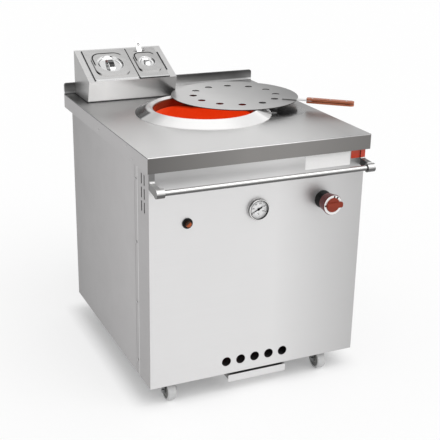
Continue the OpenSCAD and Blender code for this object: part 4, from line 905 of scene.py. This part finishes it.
def make_lid_shadow_strips():
    """Black strips on the slope, dark pieces that stand in for shadow lines left of the lids, between them,
    right of them and before one.
    """
    turn = Matrix.Rotation(SLOPE, 4, "X")
    slope = Matrix.Translation(at(0, *LIP)) @ turn @ Matrix.Scale(MM, 4)
    for word, (low_x, high_x, low_y, high_y) in STRIPS.items():
        bm = bmesh.new()
        outline = [(low_x, low_y), (high_x, low_y), (high_x, high_y), (low_x, high_y)]
        add_prism(bm, outline, *STRIP_LEVELS, slope)
        dressed(f"lid_shadow_strip_{word}", bm, SHADOW_STRIP_LOOK, "cabinet")


# Thickness of what is printed on the thermometer
INK_T = 0.2


def add_tick(bm, matrix, angle, inner, outer, width, height):
    """A radial mark between two radii."""
    cx, cy = polar((inner + outer) / 2, angle)
    a = math.radians(angle)
    half_l = (outer - inner) / 2
    half_w = width / 2
    outline = []
    for u, v in ((-half_l, -half_w), (half_l, -half_w), (half_l, half_w), (-half_l, half_w)):
        x = cx + u * math.cos(a) - v * math.sin(a)
        y = cy + u * math.sin(a) + v * math.cos(a)
        outline.append((x, y))
    add_prism(bm, outline, 0, height, matrix)


def add_text(bm, matrix, text, x, y, size):
    """Adds flat figures, in the built-in plain letters, centred on a point."""
    curve = bpy.data.curves.new("figures", "FONT")
    curve.body = text
    curve.size = size
    curve.extrude = INK_T / 2
    curve.align_x = "CENTER"
    curve.align_y = "CENTER"
    holder = bpy.data.objects.new("figures", curve)
    mesh = bpy.data.meshes.new_from_object(holder)
    mesh.transform(matrix @ Matrix.Translation((x, y, INK_T / 2)))
    bm.from_mesh(mesh)
    bpy.data.objects.remove(holder)
    bpy.data.curves.remove(curve)
    bpy.data.meshes.remove(mesh)


# The thermometer's scale: its first mark, in degrees from the right, its sweep and how many steps it has
SCALE_START = 216
SCALE_SWEEP = 240
SCALE_MARKS = 50
# How often a mark is long and has a figure, and how often it is of middle length
MARKS_A_FIGURE = 10
MARKS_A_MIDDLE = 5
# Inner radius and width of long, middle and short marks, and the outer radius of all
LONG_MARK = (25.5, 1.3)
MIDDLE_MARK = (27.5, 0.9)
SHORT_MARK = (29.5, 0.5)
MARKS_R = 32
# Radius and size of the figures, place and size of the unit, and the radii of the scale's circle
FIGURES_R = 20
FIGURE_SIZE = 6.4
UNIT_DOWN = 17
UNIT_SIZE = 8
CIRCLE_R = (32.3, 31.9)
CIRCLE_STEP = 6


def make_dial_marks():
    """The thermometer's scale: a mark for each ten degrees, and a figure for each hundred."""
    bm = bmesh.new()
    matrix = facing(at(DIAL[0], DIAL_FACE_Y, DIAL[1]), (0, -1, 0))
    for i in range(SCALE_MARKS + 1):
        angle = SCALE_START - SCALE_SWEEP * i / SCALE_MARKS
        inner, width = SHORT_MARK
        if i % MARKS_A_FIGURE == 0:
            inner, width = LONG_MARK
        elif i % MARKS_A_MIDDLE == 0:
            inner, width = MIDDLE_MARK
        add_tick(bm, matrix, angle, inner, MARKS_R, width, INK_T)
        if i % MARKS_A_FIGURE == 0:
            add_text(bm, matrix, str(i * 10), *polar(FIGURES_R, angle), FIGURE_SIZE)
    last = SCALE_START - SCALE_SWEEP
    outline = [polar(CIRCLE_R[0], a) for a in range(last, SCALE_START + 1, CIRCLE_STEP)]
    outline += [polar(CIRCLE_R[1], a) for a in range(SCALE_START, last - 1, -CIRCLE_STEP)]
    add_prism(bm, outline, 0, INK_T, matrix)
    add_text(bm, matrix, "°C", 0, -UNIT_DOWN, UNIT_SIZE)
    marks = make_object("dial_marks", bm)
    marks.data.materials.append(LOOKS["needle_black"].material)
    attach(marks, "cabinet")


# Outline of the knob's ring in radius and height, and the angles and shape of the marks on it
RING_PROFILE = ((24.5, -0.2), (24.5, 0.5), (25, 0.7), (33.8, 0.7), (34.4, 0.5), (34.4, -0.2))
KNOB_MARK_ANGLES = (82, 57, 180)
KNOB_MARK_R = (26, 33)
KNOB_MARK_W = 5.4
KNOB_MARK_T = 0.95


def make_knob_ring():
    """The silver ring on the knob's face, with its marks."""
    silver = plain_metal("knob_silver", (0.86, 0.855, 0.85), 0.32, 0.5, 0.06, 0.1)
    matrix = facing(at(KNOB[0], KNOB_FACE_Y, KNOB[1]), (0, -1, 0))
    bm = bmesh.new()
    add_lathe(bm, RING_PROFILE, matrix, 96)
    dressed("knob_ring", bm, silver, "knob")
    bm = bmesh.new()
    for angle in KNOB_MARK_ANGLES:
        add_tick(bm, matrix, angle, *KNOB_MARK_R, KNOB_MARK_W, KNOB_MARK_T)
    marks = make_object("knob_marks", bm)
    marks.data.materials.append(LOOKS["needle_black"].material)
    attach(marks, "knob")


# Black plastic for the strips and bead that stand in for shadow lines, as painted shade
SHADOW_STRIP_LOOK = moulded_plastic("shadow_strip_black", (0.012, 0.012, 0.013), 0.5)

make_plates()
make_skirt_rivets()
make_housing_shadow_bead()
make_lid_shadow_strips()
make_dial_marks()
make_knob_ring()

# ---------------------------------------------------------------- studio


def ray_is_seen(tree):
    """A socket that is 1 for what the camera sees, directly or in metal and glass."""
    paths = tree.nodes.new("ShaderNodeLightPath")
    seen = paths.outputs["Is Camera Ray"]
    for ray in ("Is Glossy Ray", "Is Transmission Ray"):
        either = tree.nodes.new("ShaderNodeMath")
        either.operation = "MAXIMUM"
        tree.links.new(seen, either.inputs[0])
        tree.links.new(paths.outputs[ray], either.inputs[1])
        seen = either.outputs[0]
    return seen


FLOOR_HALF = 30.0
# How much of the floor's own shade shows to the camera, over plain white: round the cabinet and under it
FLOOR_SHADE = 0.30
UNDER_SHADE = 0.75


def make_floor():
    """A plain white floor that keeps a soft shadow and runs out to the horizon."""
    bm = bmesh.new()
    corners = ((-1, -1), (1, -1), (1, 1), (-1, 1))
    bm.faces.new([bm.verts.new((x * FLOOR_HALF, y * FLOOR_HALF, 0)) for x, y in corners])
    floor = make_object("floor", bm)
    look = Look("floor_white", (0.985, 0.985, 0.985), 0.9, 0.0)
    white = look.node("Emission")
    white.inputs["Strength"].default_value = 1.0
    under = look.both(look.band("X", -CAB_HALF_W, CAB_HALF_W, 60), look.band("Y", 40, CAB_D, 70))
    whitened = look.ranged(under, 1 - FLOOR_SHADE, 1 - UNDER_SHADE)
    both = look.node("MixShader")
    look.link(look.both(ray_is_seen(look.tree), whitened), both.inputs["Fac"])
    look.link(look.shader.outputs["BSDF"], both.inputs[1])
    look.link(white.outputs["Emission"], both.inputs[2])
    look.link(both.outputs["Shader"], look.tree.nodes["Material Output"].inputs["Surface"])
    floor.data.materials.append(look.material)


# Strength of the world as light, and the lamp that shapes the object
WORLD_LIGHT = 0.74
SUN_LIGHT = 1.05
SUN_WIDTH = 50
SUN_TURN = (38, 0, 28)

# What metal sees of the studio by height, from 0 at the horizon to 1 overhead:
# a white card, a dark roof and a white box
STUDIO = ((0.0, 1.0), (0.38, 1.0), (0.52, 0.30), (0.76, 0.30), (0.86, 1.0), (1.0, 1.0))


def make_world():
    """A white studio to the camera, with a dark roof round its light box in metal, and softer as light."""
    world = bpy.data.worlds.new("studio")
    bpy.context.scene.world = world
    world.use_nodes = True
    tree = world.node_tree
    background = tree.nodes["Background"]
    background.inputs["Color"].default_value = (1, 1, 1, 1)
    coords = tree.nodes.new("ShaderNodeTexCoord")
    split = tree.nodes.new("ShaderNodeSeparateXYZ")
    tree.links.new(coords.outputs["Generated"], split.inputs["Vector"])
    heights = tree.nodes.new("ShaderNodeValToRGB")
    stops = heights.color_ramp.elements
    for i, (height, tone) in enumerate(STUDIO):
        stop = stops[i] if i < 2 else stops.new(height)
        stop.position = height
        stop.color = (tone, tone, tone, 1)
    tree.links.new(split.outputs["Z"], heights.inputs["Fac"])
    paths = tree.nodes.new("ShaderNodeLightPath")
    level = None
    for ray in ("Is Glossy Ray", "Is Camera Ray", "Is Transmission Ray"):
        pick = tree.nodes.new("ShaderNodeMix")
        tree.links.new(paths.outputs[ray], pick.inputs["Factor"])
        pick.inputs["A"].default_value = WORLD_LIGHT
        pick.inputs["B"].default_value = 1.0
        if level is None:
            tree.links.new(heights.outputs["Color"], pick.inputs["B"])
        else:
            tree.links.new(level, pick.inputs["A"])
        level = pick.outputs["Result"]
    tree.links.new(level, background.inputs["Strength"])


def make_lamp():
    """One wide soft lamp from the upper front right."""
    data = bpy.data.lights.new("softbox", "SUN")
    data.energy = SUN_LIGHT
    data.angle = math.radians(SUN_WIDTH)
    lamp = bpy.data.objects.new("softbox", data)
    lamp.rotation_euler = [math.radians(a) for a in SUN_TURN]
    bpy.context.scene.collection.objects.link(lamp)


# The camera, fitted to the straight edges of the photograph
CAMERA_PLACE = (-1.4290, -3.0804, 1.7549)
CAMERA_YAW = 24.725
CAMERA_PITCH = -20.426
CAMERA_ROLL = 1.080
FOCAL_LENGTH = 76.88
SENSOR = 36.0


def make_camera():
    """The photograph's viewpoint."""
    data = bpy.data.cameras.new("photo_camera")
    data.lens = FOCAL_LENGTH
    data.sensor_width = SENSOR
    camera = bpy.data.objects.new("photo_camera", data)
    yaw = Matrix.Rotation(math.radians(-CAMERA_YAW), 4, "Z")
    pitch = Matrix.Rotation(math.radians(90 + CAMERA_PITCH), 4, "X")
    roll = Matrix.Rotation(math.radians(CAMERA_ROLL), 4, "Z")
    camera.matrix_world = Matrix.Translation(CAMERA_PLACE) @ yaw @ pitch @ roll
    bpy.context.scene.collection.objects.link(camera)
    bpy.context.scene.camera = camera


make_floor()
make_world()
make_lamp()
make_camera()
bpy.context.scene.view_settings.view_transform = "Standard"
